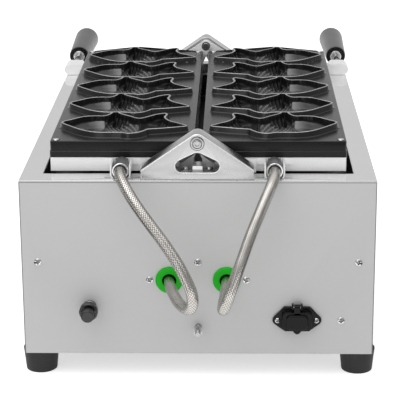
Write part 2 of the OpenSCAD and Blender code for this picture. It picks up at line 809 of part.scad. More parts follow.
module heating_element(right) {
    middle = -(mould_out + mould_in) / 2;
    z = plate_z - element_r - element_top_gap;
    turn_y = -mould_end - element_inset - element_span / 2;
    hand(right) color("dimgray") {
        for (s = [-1, 1]) rod_y(middle + s * element_span / 2, z, element_r, mould_end + element_inset, turn_y);
        translate([middle, turn_y, z]) rotate_extrude(angle = 180) translate([element_span / 2, 0]) circle(element_r);
    }
}

module insulation(right) {
    hand(right) color("beige") block([-mould_out + housing_inset + housing_wall, mould_end + board_inset, housing_z + housing_wall],
        [-mould_in - housing_inset - housing_wall, -mould_end - board_inset, housing_z + housing_wall + board_t]);
}

// Hinge arms: a foot on the housing's end, a web rising behind the pedestal and an eye round the pin.
// The left arms run next to the mould plates, the right arms one thickness further out.

function arm_screw_places() = [for (k = arm_screw_shares) -arm_reach * k];
function arm_y(lap) = mould_end - arm_gap - arm_t - lap * (arm_t + arm_gap);

module hinge_arm(lap) {
    y0 = arm_y(lap);
    y1 = y0 + arm_t;
    low = housing_z + arm_foot_drop;
    foot_top = plate_z - arm_foot_drop;
    foot_x = -mould_in - foot_in;
    touch = tangent([-arm_reach * web_reach_share, foot_top], [0, pivot_z], eye_r, -1);
    difference() {
        union() {
            block([-arm_reach, y0, low], [foot_x, housing_end, foot_top]);
            upright(y0, y1) polygon([[-arm_reach * web_reach_share, foot_top - overrun], [-arm_reach * web_reach_share, foot_top],
                touch, [0, pivot_z], [eye_r * 0.6, pivot_z - eye_r * 0.8], [foot_x, foot_top], [foot_x, foot_top - overrun]]);
            rod_y(0, pivot_z, eye_r, y0, y1);
        }
        rod_y(0, pivot_z, pin_r + pin_clearance + bush_wall, y0 - overrun, y1 + overrun);
        for (x = arm_screw_places()) {
            rod_y(x, deck_z + arm_screw_h, small_screw_r, y0 - overrun, housing_end + overrun);
            rod_y(x, deck_z + arm_screw_h, sink_r, y0 - overrun, y0 + sink_d);
        }
    }
}

module hinge_arms(right) {
    lap = right ? 1 : 0;
    hand(right) color("whitesmoke") for (f = [0, 1]) end(f) hinge_arm(lap);
}

module bushes(right) {
    lap = right ? 1 : 0;
    color("peru") for (f = [0, 1]) end(f) difference() {
        rod_y(0, pivot_z, pin_r + pin_clearance + bush_wall, arm_y(lap), arm_y(lap) + arm_t);
        rod_y(0, pivot_z, pin_r + pin_clearance, arm_y(lap) - overrun, arm_y(lap) + arm_t + overrun);
    }
}

// Glands and their guards

gland_end = housing_end - mould_end + gland_l;

module gland(right) {
    z = deck_z + gland_h;
    y0 = mould_end - gland_l;
    hand(right) color("gray") difference() {
        union() {
            rod_y(-gland_x, z, gland_bore_r + gland_wall, y0, mould_end - gland_lip);
            block([-gland_x - gland_flange_half, mould_end - gland_lip, deck_z + gland_flange_z],
                [-gland_x + gland_flange_half, housing_end, plate_z - rest_gap]);
            block([-gland_x - gland_bore_r, mould_end - gland_lip - overrun, z - gland_bore_r],
                [-gland_x + gland_bore_r, housing_end, plate_z - rest_gap]);
        }
        rod_y(-gland_x, z, gland_bore_r, y0 - overrun, mould_end - gland_lip);
        rod_y(-gland_x, z, wire_hole_r, y0, housing_end + overrun);
    }
}

// U-shaped steel guard round a gland, open on top
module gland_guard(right) {
    y0 = mould_end - gland_l;
    low = rest_gap + gland_lip / 2;
    bore = gland_bore_r + gland_wall + seat;
    hand(right) color("whitesmoke") translate([-gland_x, 0, deck_z]) difference() {
        upright(y0, mould_end - gland_lip) difference() {
            soft_square([-guard_half_w, low], [guard_half_w, guard_top + guard_round], guard_round);
            square_above(guard_top);
            soft_square([-guard_half_w + guard_wall, low + guard_floor],
                [guard_half_w - guard_wall, guard_top + guard_round + overrun], guard_round - guard_wall);
        }
        rod_y(0, gland_h, bore, y0 - overrun, mould_end);
    }
}

// Cuts an outline off above a height
module square_above(z) {
    translate([-guard_half_w - overrun, z]) square([2 * (guard_half_w + overrun), guard_round + 2 * overrun]);
}

// Handles

// Full-round bar from the outer end of a bracket to x1, at depth y0 to y1
module round_bar(x1, y0, y1) {
    r = (plate_z - rest_gap - housing_z) / 2;
    x_out = mould_out + bracket_out;
    block([-x_out + r, y0, housing_z], [x1, y1, housing_z + 2 * r]);
    rod_y(-x_out + r, housing_z + r, r, y0, y1);
}

// A bar under the end of the plate and housing, with a deeper boss that takes the handle rod
module handle_bracket(right) {
    y0 = -housing_end;
    boss_x = -mould_out - boss_in;
    hand(right) color("whitesmoke") difference() {
        union() {
            round_bar(-mould_out + bracket_in, y0, y0 + bar_depth);
            round_bar(boss_x, y0, y0 + bracket_d);
            translate([0, 0, housing_z]) linear_extrude(plate_z - rest_gap - housing_z)
                polygon([[boss_x - overrun, y0 + bar_depth / 2], [boss_x + boss_slope, y0 + bar_depth / 2],
                    [boss_x + boss_slope, y0 + bar_depth], [boss_x, y0 + bracket_d], [boss_x - overrun, y0 + bracket_d]]);
        }
        rod_y(-mould_out - rod_out, handle_axis_z(), rod_r, y0 + bracket_d - bracket_thread, y0 + bracket_d + overrun);
    }
}

function handle_axis_z() = (housing_z + plate_z - rest_gap) / 2;

module handle_rod(right) {
    y0 = -housing_end + bracket_d;
    hand(right) color("silver") {
        rod_y(-mould_out - rod_out, handle_axis_z(), rod_r, y0 - bracket_thread, y0 + rod_l + grip_core);
        difference() {
            rod_y(-mould_out - rod_out, handle_axis_z(), ferrule_r, y0 + rod_l - ferrule_l, y0 + rod_l);
            rod_y(-mould_out - rod_out, handle_axis_z(), ferrule_bore_r, y0, y0 + rod_l - ferrule_l / 2);
        }
    }
}

// Tapered grip with a rounded free end
module grip(right) {
    y0 = -housing_end + bracket_d + rod_l;
    n = 8;
    corner = [for (i = [0:n]) [grip_far_r - grip_round + grip_round * cos(90 * i / n), grip_l - grip_round + grip_round * sin(90 * i / n)]];
    near = [for (i = [0:n]) [grip_near_r - grip_round / 2 + grip_round / 2 * sin(90 * i / n), grip_round / 2 * (1 - cos(90 * i / n))]];
    hand(right) color("#3a3a3c") translate([-mould_out - rod_out, y0, handle_axis_z()]) difference() {
        rotate([-90, 0, 0]) rotate_extrude() polygon(concat([[0, 0]], near, corner, [[0, grip_l]]));
        rotate([-90, 0, 0]) translate([0, 0, -overrun]) cylinder(r = rod_r + grip_bore_gap, h = grip_core + 2 * overrun);
    }
}

// Screws that ride on a plate: four at its corners and two in each arm's foot
module mould_screws(right) {
    lap = right ? 1 : 0;
    head_z = plate_top - counterbore_d;
    hand(right) color("silver") {
        for (p = mould_screw_places()) translate([p[0], p[1], head_z]) {
            difference() {
                cylinder(r = small_head_r, h = small_head_h);
                translate([0, 0, small_head_h / 2]) cylinder(r = small_head_r / 2, h = small_head_h, $fn = 6);
            }
            translate([0, 0, -mould_t + counterbore_d - screw_bite / 2]) cylinder(r = small_screw_r, h = mould_t - counterbore_d + screw_bite / 2);
        }
        for (f = [0, 1]) end(f) for (x = arm_screw_places()) {
            rod_y(x, deck_z + arm_screw_h, small_head_r, arm_y(lap) + sink_d - small_head_h, arm_y(lap) + sink_d);
            rod_y(x, deck_z + arm_screw_h, small_screw_r, arm_y(lap) + sink_d, housing_end + housing_wall + nut_h + overrun);
            translate([0, 0, deck_z + arm_screw_h]) rod_nut([x, 0], housing_end + housing_wall);
        }
    }
}

// Conduits and grommets

// Unit vector along the route at point i
function heading(route, i) = let (d = route[min(i + 1, len(route) - 1)] - route[max(i - 1, 0)]) d / norm(d);

// Normal of the tube at point i, carried along the route without twist
function frames(route, i, n) = i == len(route) ? [] :
    let (t = heading(route, i), m = n - (n * t) * t, u = m / norm(m)) concat([u], frames(route, i + 1, u));

module conduit(route) {
    line = [for (p = route) [p[0], rear_y - p[1], foot_h + p[2]]];
    normals = frames(line, 0, [0, 0, 1]);
    n = conduit_sides;
    points = [for (i = [0:len(line) - 1]) let (t = heading(line, i), u = normals[i], v = cross(t, u))
        for (k = [0:n - 1]) line[i] + conduit_r * (cos(360 * k / n) * u + sin(360 * k / n) * v)];
    m = len(line);
    walls = [for (i = [0:m - 2]) for (k = [0:n - 1]) let (j = (k + 1) % n)
        each [[i * n + k, i * n + j, (i + 1) * n + j], [i * n + k, (i + 1) * n + j, (i + 1) * n + k]]];
    polyhedron(points, concat(walls, [[for (k = [0:n - 1]) n - 1 - k]], [[for (k = [0:n - 1]) (m - 1) * n + k]]));
}

module left_conduit() { color("#8f8a82") conduit(left_route); }
module right_conduit() { color("#8f8a82") conduit(right_route); }

module grommets() {
    color("#12a812") for (s = [-1, 1]) translate([s * grommet_x, rear_y, foot_h + grommet_h]) rotate([-90, 0, 0]) difference() {
        union() {
            translate([0, 0, -grommet_face]) cylinder(r1 = grommet_r * 0.82, r2 = grommet_r, h = grommet_face);
            cylinder(r = grommet_neck_r, h = sheet_t);
            translate([0, 0, sheet_t]) cylinder(r = grommet_r - screw_clearance, h = grommet_back);
        }
        translate([0, 0, -grommet_face - overrun]) cylinder(r = grommet_bore_r, h = grommet_face + sheet_t + grommet_back + 2 * overrun);
    }
}

// Inlet with its flip cover

module at_inlet() {
    translate([inlet_x, rear_y, foot_h + inlet_h]) children();
}

module inlet_socket() {
    ear = [inlet_pitch / 2, 0];
    hi = tangent([inlet_half_w, inlet_high], ear, inlet_ear_r, -1);
    lo = tangent([inlet_half_w, inlet_low], ear, inlet_ear_r, 1);
    lug_x = knuckle_half + lug_gap;
    color("#1b1b1d") at_inlet() difference() {
        union() {
            upright(-inlet_flange_t, 0) polygon([[inlet_half_w, inlet_low], lo, ear, hi, [inlet_half_w, inlet_high],
                [-inlet_half_w, inlet_high], [-hi[0], hi[1]], -ear, [-lo[0], lo[1]], [-inlet_half_w, inlet_low]]);
            for (s = [-1, 1]) rod_y(s * inlet_pitch / 2, 0, inlet_ear_r, -inlet_flange_t, 0);
            block([-inlet_shell_half, -inlet_face, inlet_shell_low], [inlet_shell_half, inlet_back, inlet_shell_high]);
            for (x = [lug_x, -lug_x - lug_w]) along_x(x, x + lug_w) {
                translate([-cover_axis_out, cover_axis_h]) circle(knuckle_r);
                translate([-cover_axis_out, cover_axis_h - knuckle_r]) square([cover_axis_out - inlet_flange_t / 2, knuckle_r * 1.8]);
            }
        }
        block([-inlet_cup_half, -inlet_face - overrun, inlet_cup_low], [inlet_cup_half, inlet_back - inlet_floor, inlet_cup_high]);
        for (s = [-1, 1]) rod_y(s * inlet_pitch / 2, 0, small_screw_r, -inlet_flange_t - overrun, overrun);
        for (x = [lug_x, -lug_x - lug_w]) along_x(x - lug_gap, x + lug_w + lug_gap)
            translate([-cover_axis_out, cover_axis_h]) circle(cover_pin_r + seat);
        for (p = blade_places()) block([p[0] - blade_w / 2, 0, p[1] - blade_h / 2], [p[0] + blade_w / 2, inlet_back + overrun, p[1] + blade_h / 2]);
    }
}

function blade_places() = [[-blade_x, -blade_drop], [blade_x, -blade_drop], [0, blade_rise]];

module inlet_blades() {
    color("silver") at_inlet() for (p = blade_places())
        block([p[0] - blade_w / 2, inlet_back - inlet_floor - blade_l, p[1] - blade_h / 2], [p[0] + blade_w / 2, inlet_back + blade_h, p[1] + blade_h / 2]);
}

module inlet_screws() {
    color("silver") for (p = inlet_screw_places()) {
        translate([p[0], rear_y - inlet_flange_t, p[1]]) pan_screw(inlet_flange_t + sheet_t + nut_h + overrun);
        rod_nut(p, rear_y + sheet_t);
    }
}

module inlet_cover() {
    face = -inlet_face - cover_gap;
    color("#232325") at_inlet() difference() {
        union() {
            upright(face - cover_t, face) soft_square([-cover_half_w, cover_low], [cover_half_w, cover_high], cover_round);
            upright(face - cover_t - cover_pad_t, face - cover_t)
                soft_square([-cover_pad_half, cover_pad_low], [cover_pad_half, cover_pad_high], cover_round);
            upright(face - cover_t, face) soft_square([-tab_half, cover_low - tab_drop], [tab_half, cover_low + tab_drop], cover_round);
            block([-knuckle_half, face - cover_t, cover_high - overrun], [knuckle_half, face, cover_axis_h]);
            translate([-knuckle_half, -cover_axis_out, cover_axis_h]) rotate([0, 90, 0]) cylinder(r = knuckle_r, h = 2 * knuckle_half);
        }
        translate([-knuckle_half - overrun, -cover_axis_out, cover_axis_h]) rotate([0, 90, 0])
            cylinder(r = cover_pin_r + pin_clearance, h = 2 * (knuckle_half + overrun));
    }
}

module cover_pin() {
    x = knuckle_half + lug_gap + lug_w;
    color("silver") at_inlet() translate([-x, -cover_axis_out, cover_axis_h]) rotate([0, 90, 0]) cylinder(r = cover_pin_r, h = 2 * x);
}

// Reset body and button

module at_reset() {
    translate([-reset_x, rear_y, foot_h + reset_h]) rotate([-90, 0, 0]) children();
}

module reset_body() {
    color("silver") at_reset() difference() {
        union() {
            translate([0, 0, -reset_neck_l]) cylinder(r = reset_neck_r, h = reset_neck_l + sheet_t);
            translate([0, 0, sheet_t]) cylinder(r = reset_body_r, h = reset_body_l);
            translate([0, 0, -reset_neck_l - reset_ring_l]) cylinder(r = reset_ring_r, h = reset_ring_l);
        }
        translate([0, 0, -reset_neck_l - reset_ring_l - overrun]) cylinder(r = reset_stem_r + pin_clearance,
            h = reset_neck_l + reset_ring_l + reset_travel + overrun);
        translate([0, 0, -reset_neck_l - reset_ring_l - overrun]) cylinder(r = reset_r + reset_gap, h = reset_travel + reset_gap + overrun);
    }
}

module reset_button() {
    color("#2c2c2e") at_reset() {
        translate([0, 0, -reset_neck_l - reset_ring_l - reset_out]) cylinder(r = reset_r, h = reset_out, $fn = 8);
        translate([0, 0, -reset_neck_l - reset_ring_l - reset_out / 2]) cylinder(r = reset_stem_r, h = reset_out / 2 + reset_neck_l + reset_ring_l - reset_gap);
    }
}

// Earth stud with its nuts and washers
module earth_stud() {
    levels = [for (k = [0, 1]) k * (stud_nut_h + stud_washer_h)];
    color("silver") translate([0, rear_y, foot_h + stud_h]) rotate([90, 0, 0]) {
        translate([0, 0, -sheet_t - stud_inner]) cylinder(r = stud_r, h = stud_l + stud_inner + sheet_t);
        for (z = levels) translate([0, 0, z]) {
            cylinder(r = stud_washer_r, h = stud_washer_h);
            translate([0, 0, stud_washer_h]) cylinder(r = stud_nut_r, h = stud_nut_h, $fn = 6);
        }
        translate([0, 0, -sheet_t - stud_nut_h]) cylinder(r = stud_nut_r, h = stud_nut_h, $fn = 6);
    }
}

// Control panel fittings

module at_control(x, rise) {
    translate([x, -rear_y, foot_h + knob_h + rise]) rotate([-90, 0, 0]) children();
}

// A control body behind the panel with its spindle through it
module control_body(x, w, d) {
    color("gainsboro") at_control(x, 0) {
        translate([-w / 2, -w / 2, -sheet_t - d]) cube([w, w, d]);
        translate([0, 0, -sheet_t - overrun]) cylinder(r = spindle_r, h = sheet_t + overrun + spindle_l);
    }
}

// A ribbed knob on a skirt, with the bore for its spindle
module knob(x) {
    color("#1e1e20") at_control(x, 0) difference() {
        union() {
            translate([0, 0, knob_gap]) cylinder(r = knob_skirt_r, h = knob_skirt_h);
            translate([0, 0, knob_gap]) cylinder(r = knob_r - knob_rib_r, h = knob_depth);
            for (i = [0:knob_ribs - 1]) rotate([0, 0, 360 * i / knob_ribs])
                translate([knob_r - knob_rib_r, 0, knob_gap]) cylinder(r = knob_rib_r, h = knob_depth, $fn = 24);
        }
        translate([0, 0, -overrun]) cylinder(r = spindle_r + spindle_clearance, h = spindle_l + spindle_clearance + overrun);
    }
}

module switch_frame() {
    w = switch_w / 2;
    h = switch_h / 2;
    color("#18181a") at_control(0, 0) difference() {
        union() {
            translate([-w - switch_lip, -h - switch_lip, 0]) cube([2 * (w + switch_lip), 2 * (h + switch_lip), switch_lip]);
            translate([-w, -h, -sheet_t - switch_depth]) cube([2 * w, 2 * h, sheet_t + switch_depth + switch_lip]);
        }
        translate([-w + switch_wall, -h + switch_wall, -switch_depth / 2]) cube([2 * (w - switch_wall), 2 * (h - switch_wall), switch_depth + overrun]);
        rotate([90, 0, 0]) translate([0, 0, -h - switch_lip - overrun]) cylinder(r = rocker_pin_r + pin_clearance, h = 2 * (h + switch_lip + overrun));
    }
}

// Rocker: a lens-shaped bar with two stub pins
module switch_rocker() {
    w = switch_w / 2 - switch_wall - rocker_gap;
    h = switch_h / 2 - switch_wall - rocker_gap;
    color("#b01818") at_control(0, 0) rotate([0, rocker_tilt, 0]) rotate([90, 0, 0]) {
        translate([0, 0, -h]) linear_extrude(2 * h) intersection() {
            translate([0, -rocker_face_r * 0.72]) circle(rocker_face_r);
            translate([-w, -switch_lip * 2]) square([2 * w, rocker_face_r]);
        }
        translate([0, 0, -h - switch_wall]) cylinder(r = rocker_pin_r, h = 2 * (h + switch_wall));
    }
}

module pilot_lamps() {
    color("orangered") for (s = [-1, 1]) at_control(s * lamp_x, lamp_rise) {
        cylinder(r1 = lamp_r, r2 = lamp_r * 0.7, h = lamp_lens_h);
        translate([0, 0, -sheet_t - lamp_body_l]) cylinder(r = lamp_body_r, h = sheet_t + lamp_body_l);
    }
}

// Ceramic terminal block standing on the brace's lip
module terminal_block() {
    y = rear_y + sheet_t;
    z = foot_h + brace_high;
    color("ivory") difference() {
        block([-block_l / 2, y, z], [block_l / 2, y + block_w, z + block_h]);
        for (i = [0:block_cells - 1]) rod_y((i + 0.5) * block_l / block_cells - block_l / 2, z + block_h / 2, block_bore_r, y - overrun, y + block_w + overrun);
    }
}

// Middle of the footprint, from the reset button's face to the ends of the grips
front_reach = -housing_end + bracket_d + rod_l + grip_l;
rear_reach = -rear_y + reset_neck_l + reset_ring_l + reset_out;

translate([0, (rear_reach - front_reach) / 2, 0]) {
    side_panel(false);  // left_side_panel
    side_panel(true);  // right_side_panel
    rear_panel();
    control_panel();
    base_plate();
    deck();
    well_tray();
    rear_brace();
    feet();
    foot_screws();
    panel_screws();
    pedestal(false);  // rear_pedestal
    pedestal(true);  // front_pedestal
    pedestal_bolts();
    pivot_pin(false);  // rear_pivot_pin
    pivot_pin(true);  // front_pivot_pin
    inlet_socket();
    inlet_blades();
    inlet_screws();
    inlet_cover();
    cover_pin();
    reset_body();
    reset_button();
    earth_stud();
    grommets();
    left_conduit();
    right_conduit();
    control_body(-knob_x, thermostat_w, thermostat_d);  // thermostat
    knob(-knob_x);  // thermostat_knob
    control_body(knob_x, timer_w, timer_d);  // timer
    knob(knob_x);  // timer_knob
    switch_frame();
    switch_rocker();
    pilot_lamps();
    terminal_block();
    mould_plate(false);  // left_mould_plate
    heater_housing(false);  // left_heater_housing
    heating_element(false);  // left_heating_element
    insulation(false);  // left_insulation
    hinge_arms(false);  // left_hinge_arms
    bushes(false);  // left_bushes
    gland(false);  // left_gland
    gland_guard(false);  // left_gland_guard
    handle_bracket(false);  // left_handle_bracket
    handle_rod(false);  // left_handle_rod
    grip(false);  // left_grip
    mould_screws(false);  // left_screws
    mould_plate(true);  // right_mould_plate
    heater_housing(true);  // right_heater_housing
    heating_element(true);  // right_heating_element
    insulation(true);  // right_insulation
    hinge_arms(true);  // right_hinge_arms
    bushes(true);  // right_bushes
    gland(true);  // right_gland
    gland_guard(true);  // right_gland_guard
    handle_bracket(true);  // right_handle_bracket
    handle_rod(true);  // right_handle_rod
    grip(true);  // right_grip
    mould_screws(true);  // right_screws
}
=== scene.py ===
"""Fish-cake machine, seen from its rear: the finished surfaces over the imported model.

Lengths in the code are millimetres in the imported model's frame; a mesh is turned into metres when it is made.
"""
import json
import math
from functools import cache
import bmesh
import bpy
import numpy as np
from bpy.props import FloatProperty, FloatVectorProperty, IntProperty, PointerProperty
from mathutils import Matrix, Vector
from mathutils.geometry import delaunay_2d_cdt

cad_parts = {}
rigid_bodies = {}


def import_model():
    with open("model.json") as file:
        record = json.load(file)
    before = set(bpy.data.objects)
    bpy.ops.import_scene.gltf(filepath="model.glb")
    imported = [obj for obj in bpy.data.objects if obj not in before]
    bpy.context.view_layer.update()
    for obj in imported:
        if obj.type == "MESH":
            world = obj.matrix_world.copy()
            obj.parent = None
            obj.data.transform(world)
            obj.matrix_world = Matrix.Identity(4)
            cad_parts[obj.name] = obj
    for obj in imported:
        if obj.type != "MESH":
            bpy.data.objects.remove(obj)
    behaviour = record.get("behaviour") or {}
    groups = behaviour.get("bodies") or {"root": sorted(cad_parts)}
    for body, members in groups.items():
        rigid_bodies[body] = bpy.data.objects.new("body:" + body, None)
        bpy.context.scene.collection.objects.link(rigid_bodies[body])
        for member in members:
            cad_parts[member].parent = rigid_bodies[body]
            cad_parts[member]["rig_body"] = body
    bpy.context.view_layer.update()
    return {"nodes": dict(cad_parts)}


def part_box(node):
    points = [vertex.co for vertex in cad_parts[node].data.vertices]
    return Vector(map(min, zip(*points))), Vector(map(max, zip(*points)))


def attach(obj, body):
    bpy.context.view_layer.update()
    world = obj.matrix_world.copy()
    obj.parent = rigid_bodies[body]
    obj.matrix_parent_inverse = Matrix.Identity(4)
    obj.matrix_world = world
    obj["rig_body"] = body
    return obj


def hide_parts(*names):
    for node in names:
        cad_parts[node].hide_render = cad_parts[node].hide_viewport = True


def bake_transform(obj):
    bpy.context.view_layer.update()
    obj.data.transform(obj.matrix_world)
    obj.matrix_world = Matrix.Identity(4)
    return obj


bl_info = {
    "name": "Fish-Cake Machine",
    "version": (1, 0, 0),
    "blender": (4, 5, 0),
    "location": "View3D > Sidebar > Fish-Cake Machine",
    "description": "Builds the finished surfaces of a fish-cake machine over its packed model",
    "category": "Add Mesh",
}

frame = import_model()
MM = 0.001
SIDES = ("left", "right")
ENDS = ("rear", "front")
ALONG_Y, ALONG_Z = (0, 1, 0), (0, 0, 1)


def low_high(node):
    """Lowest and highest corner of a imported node, in millimetres."""
    a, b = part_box(node)
    return np.array(a) / MM, np.array(b) / MM


# Levels shared by several pieces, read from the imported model
PANEL_LOW, PANEL_HIGH = low_high("rear_panel")
REAR, HALF_W, FOOT = PANEL_LOW[1], PANEL_HIGH[0], PANEL_LOW[2]
DECK = low_high("deck")[1][2]
PLATE_LOW, PLATE_HIGH = low_high("left_mould_plate")
PLATE_THICK, RIM = 17, 6.2
LAND = PLATE_HIGH[2]
PLATE_TOP = LAND - RIM
PIVOT = LAND + 0.25

# Places on the rear panel. INLET and RESET: x and z. The rest: x, height above the casing's lower edge, and for the
# screws the turn of the cross in degrees.
INLET = (HALF_W - 79, FOOT + 38.5)
RESET = (-HALF_W + 69, FOOT + 52.2)
GROMMET_AT = (29.5, 81.7)
STUD_HEIGHT = 30.5
PANEL_SCREWS = [(-HALF_W + 16.7, 101, 12), (0, 101, 40), (HALF_W - 16.7, 101, -15), (-49.6, 81.7, 30),
    (49.6, 81.7, 70), (HALF_W - 33.5, 37.4, 5)]

# Routes of the conduits: x, distance out from the rear panel, height above the casing's lower edge
ROUTES = {
    "left": [[-29.5, -10, 81.7], [-29.5, 4, 81.7], [-27.5, 18, 80.5], [-23.5, 32, 77], [-18, 45, 73.5],
        [-11.5, 57, 72.5], [-6, 67, 76], [-3.5, 73, 84.5], [-4.5, 75, 96], [-9.5, 73, 108], [-16, 69, 120],
        [-24, 63.5, 131.5], [-33, 57.5, 143], [-43, 51, 154.5], [-53, 43.5, 166], [-62.5, 34.5, 177],
        [-70.5, 24, 187], [-76, 12.5, 193.8], [-78, 2, 196.3], [-78, -7, 196.4], [-78, -18, 196.4],
        [-78, -28, 196.4]],
    "right": [[29.5, -10, 81.7], [29.5, 4, 81.7], [29, 18, 80], [28, 32, 76.5], [26.5, 46, 73],
        [26, 58, 72.5], [27, 68, 76], [29.5, 74.5, 84.5], [33, 76.5, 96], [37.5, 74.5, 108], [42, 70.5, 120],
        [46.5, 65, 131.5], [51, 59, 143], [56, 52.5, 154.5], [61.5, 45, 166], [67, 36, 177], [72.5, 25.5, 187],
        [76.5, 14, 193.8], [78, 3, 196.3], [78, -7, 196.4], [78, -18, 196.4], [78, -28, 196.4]],
}

# Outline of a fish in shares of its length, mouth at zero, round the belly and back over the fin
FISH = np.array([[0, 0], [0.087, -0.131], [0.195, -0.25], [0.307, -0.307], [0.428, -0.309], [0.497, -0.315],
    [0.555, -0.341], [0.626, -0.312], [0.676, -0.247], [0.702, -0.211], [0.808, -0.184], [0.93, -0.143],
    [1, -0.108], [0.941, -0.034], [0.862, 0.046], [0.818, 0.156], [0.828, 0.262], [0.806, 0.295],
    [0.737, 0.252], [0.617, 0.131], [0.528, 0.205], [0.448, 0.288], [0.43, 0.334], [0.384, 0.334],
    [0.36, 0.262], [0.318, 0.209], [0.242, 0.209], [0.155, 0.184], [0.064, 0.091]])
FISH_SIZE, FISH_PITCH = 131.5, 85.15
FISH_MOUTH = PLATE_LOW[0] + 8
CAVITY_WALL = 4.6

# A rim's section: distance out from the middle of its land, and height above the land
RIM_OUT = (-1.0, -0.6, 0.0, 0.6, 1.0, 1.25, 2.25, 2.6, 3.2, 4.2)
RIM_HEIGHT = (-0.3, -0.08, 0.0, -0.1, -0.34, -0.75, -RIM + 1.3, -RIM + 0.5, -RIM + 0.1, -RIM)
CORNER_SCREW, BORE = 6.4, 4.0

# Lathe profiles: radius, and distance along the axis
PIN_HEAD = [(4.0, -0.02), (6.3, 0.0), (6.7, 0.4), (6.7, 1.0), (6.5, 1.4), (6.0, 1.6), (5.2, 1.55), (5.0, 1.35),
    (4.9, 0.5), (4.3, 0.5), (4.25, 2.2), (4.0, 2.6), (3.5, 2.8), (2.6, 2.8), (2.4, 2.65), (2.3, 1.1), (0, 1.0)]
PIN_CLIP = [(4.05, 0), (5.6, 0), (5.6, 0.8), (4.05, 0.8)]
CORNER_HEAD = [(0, 0.55), (1.3, 0.55), (1.5, 1.1), (1.9, 1.25), (2.9, 1.0), (3.3, 0.4), (3.3, -0.6), (0, -0.6)]
COLLAR = [(6.8, 0.5), (7.2, 0.0), (8.0, 0.0), (8.4, 0.5), (8.4, 1.7), (8.0, 2.2), (7.32, 2.2), (6.8, 1.6)]
RESET_RING = [(7.0, 0.4), (7.4, 0.0), (8.7, 0.0), (9.5, 0.8), (9.5, 7.3), (9.0, 7.9), (7.0, 7.9)]
GROMMET = [(6.9, 0.9), (7.3, 0.25), (8.2, 0.0), (11.6, 0.0), (13.0, 0.35), (13.9, 1.2), (14.2, 2.2), (14.2, 3.4),
    (9.6, 3.4), (9.6, 4.6), (14.0, 4.6), (14.0, 7.2), (6.9, 7.2)]
KNUCKLE = [(1.3, 0), (3.2, 0), (3.2, 6.8), (1.3, 6.8)]

# Outline of the inlet's flap about the inlet's middle
LID = np.array([(-15.3, -6.6), (-12.6, -9.4), (-4.2, -9.4), (-3.4, -10.9), (-1.8, -12.4), (0, -12.8), (1.8, -12.4),
    (3.4, -10.9), (4.2, -9.4), (12.6, -9.4), (15.3, -6.6), (15.3, 7.6), (12.2, 11), (-12.2, 11), (-15.3, 7.6)], float)

# The eye: its place in metres, its turn left, down and about its line of sight in degrees, its focal length and the
# picture's width in pixels
EYE = (0.03873, -1.83845, 0.66633)
EYE_TURN = (1.3678, 17.3799, -0.3279)
FOCAL, PICTURE = 1570.42, 400

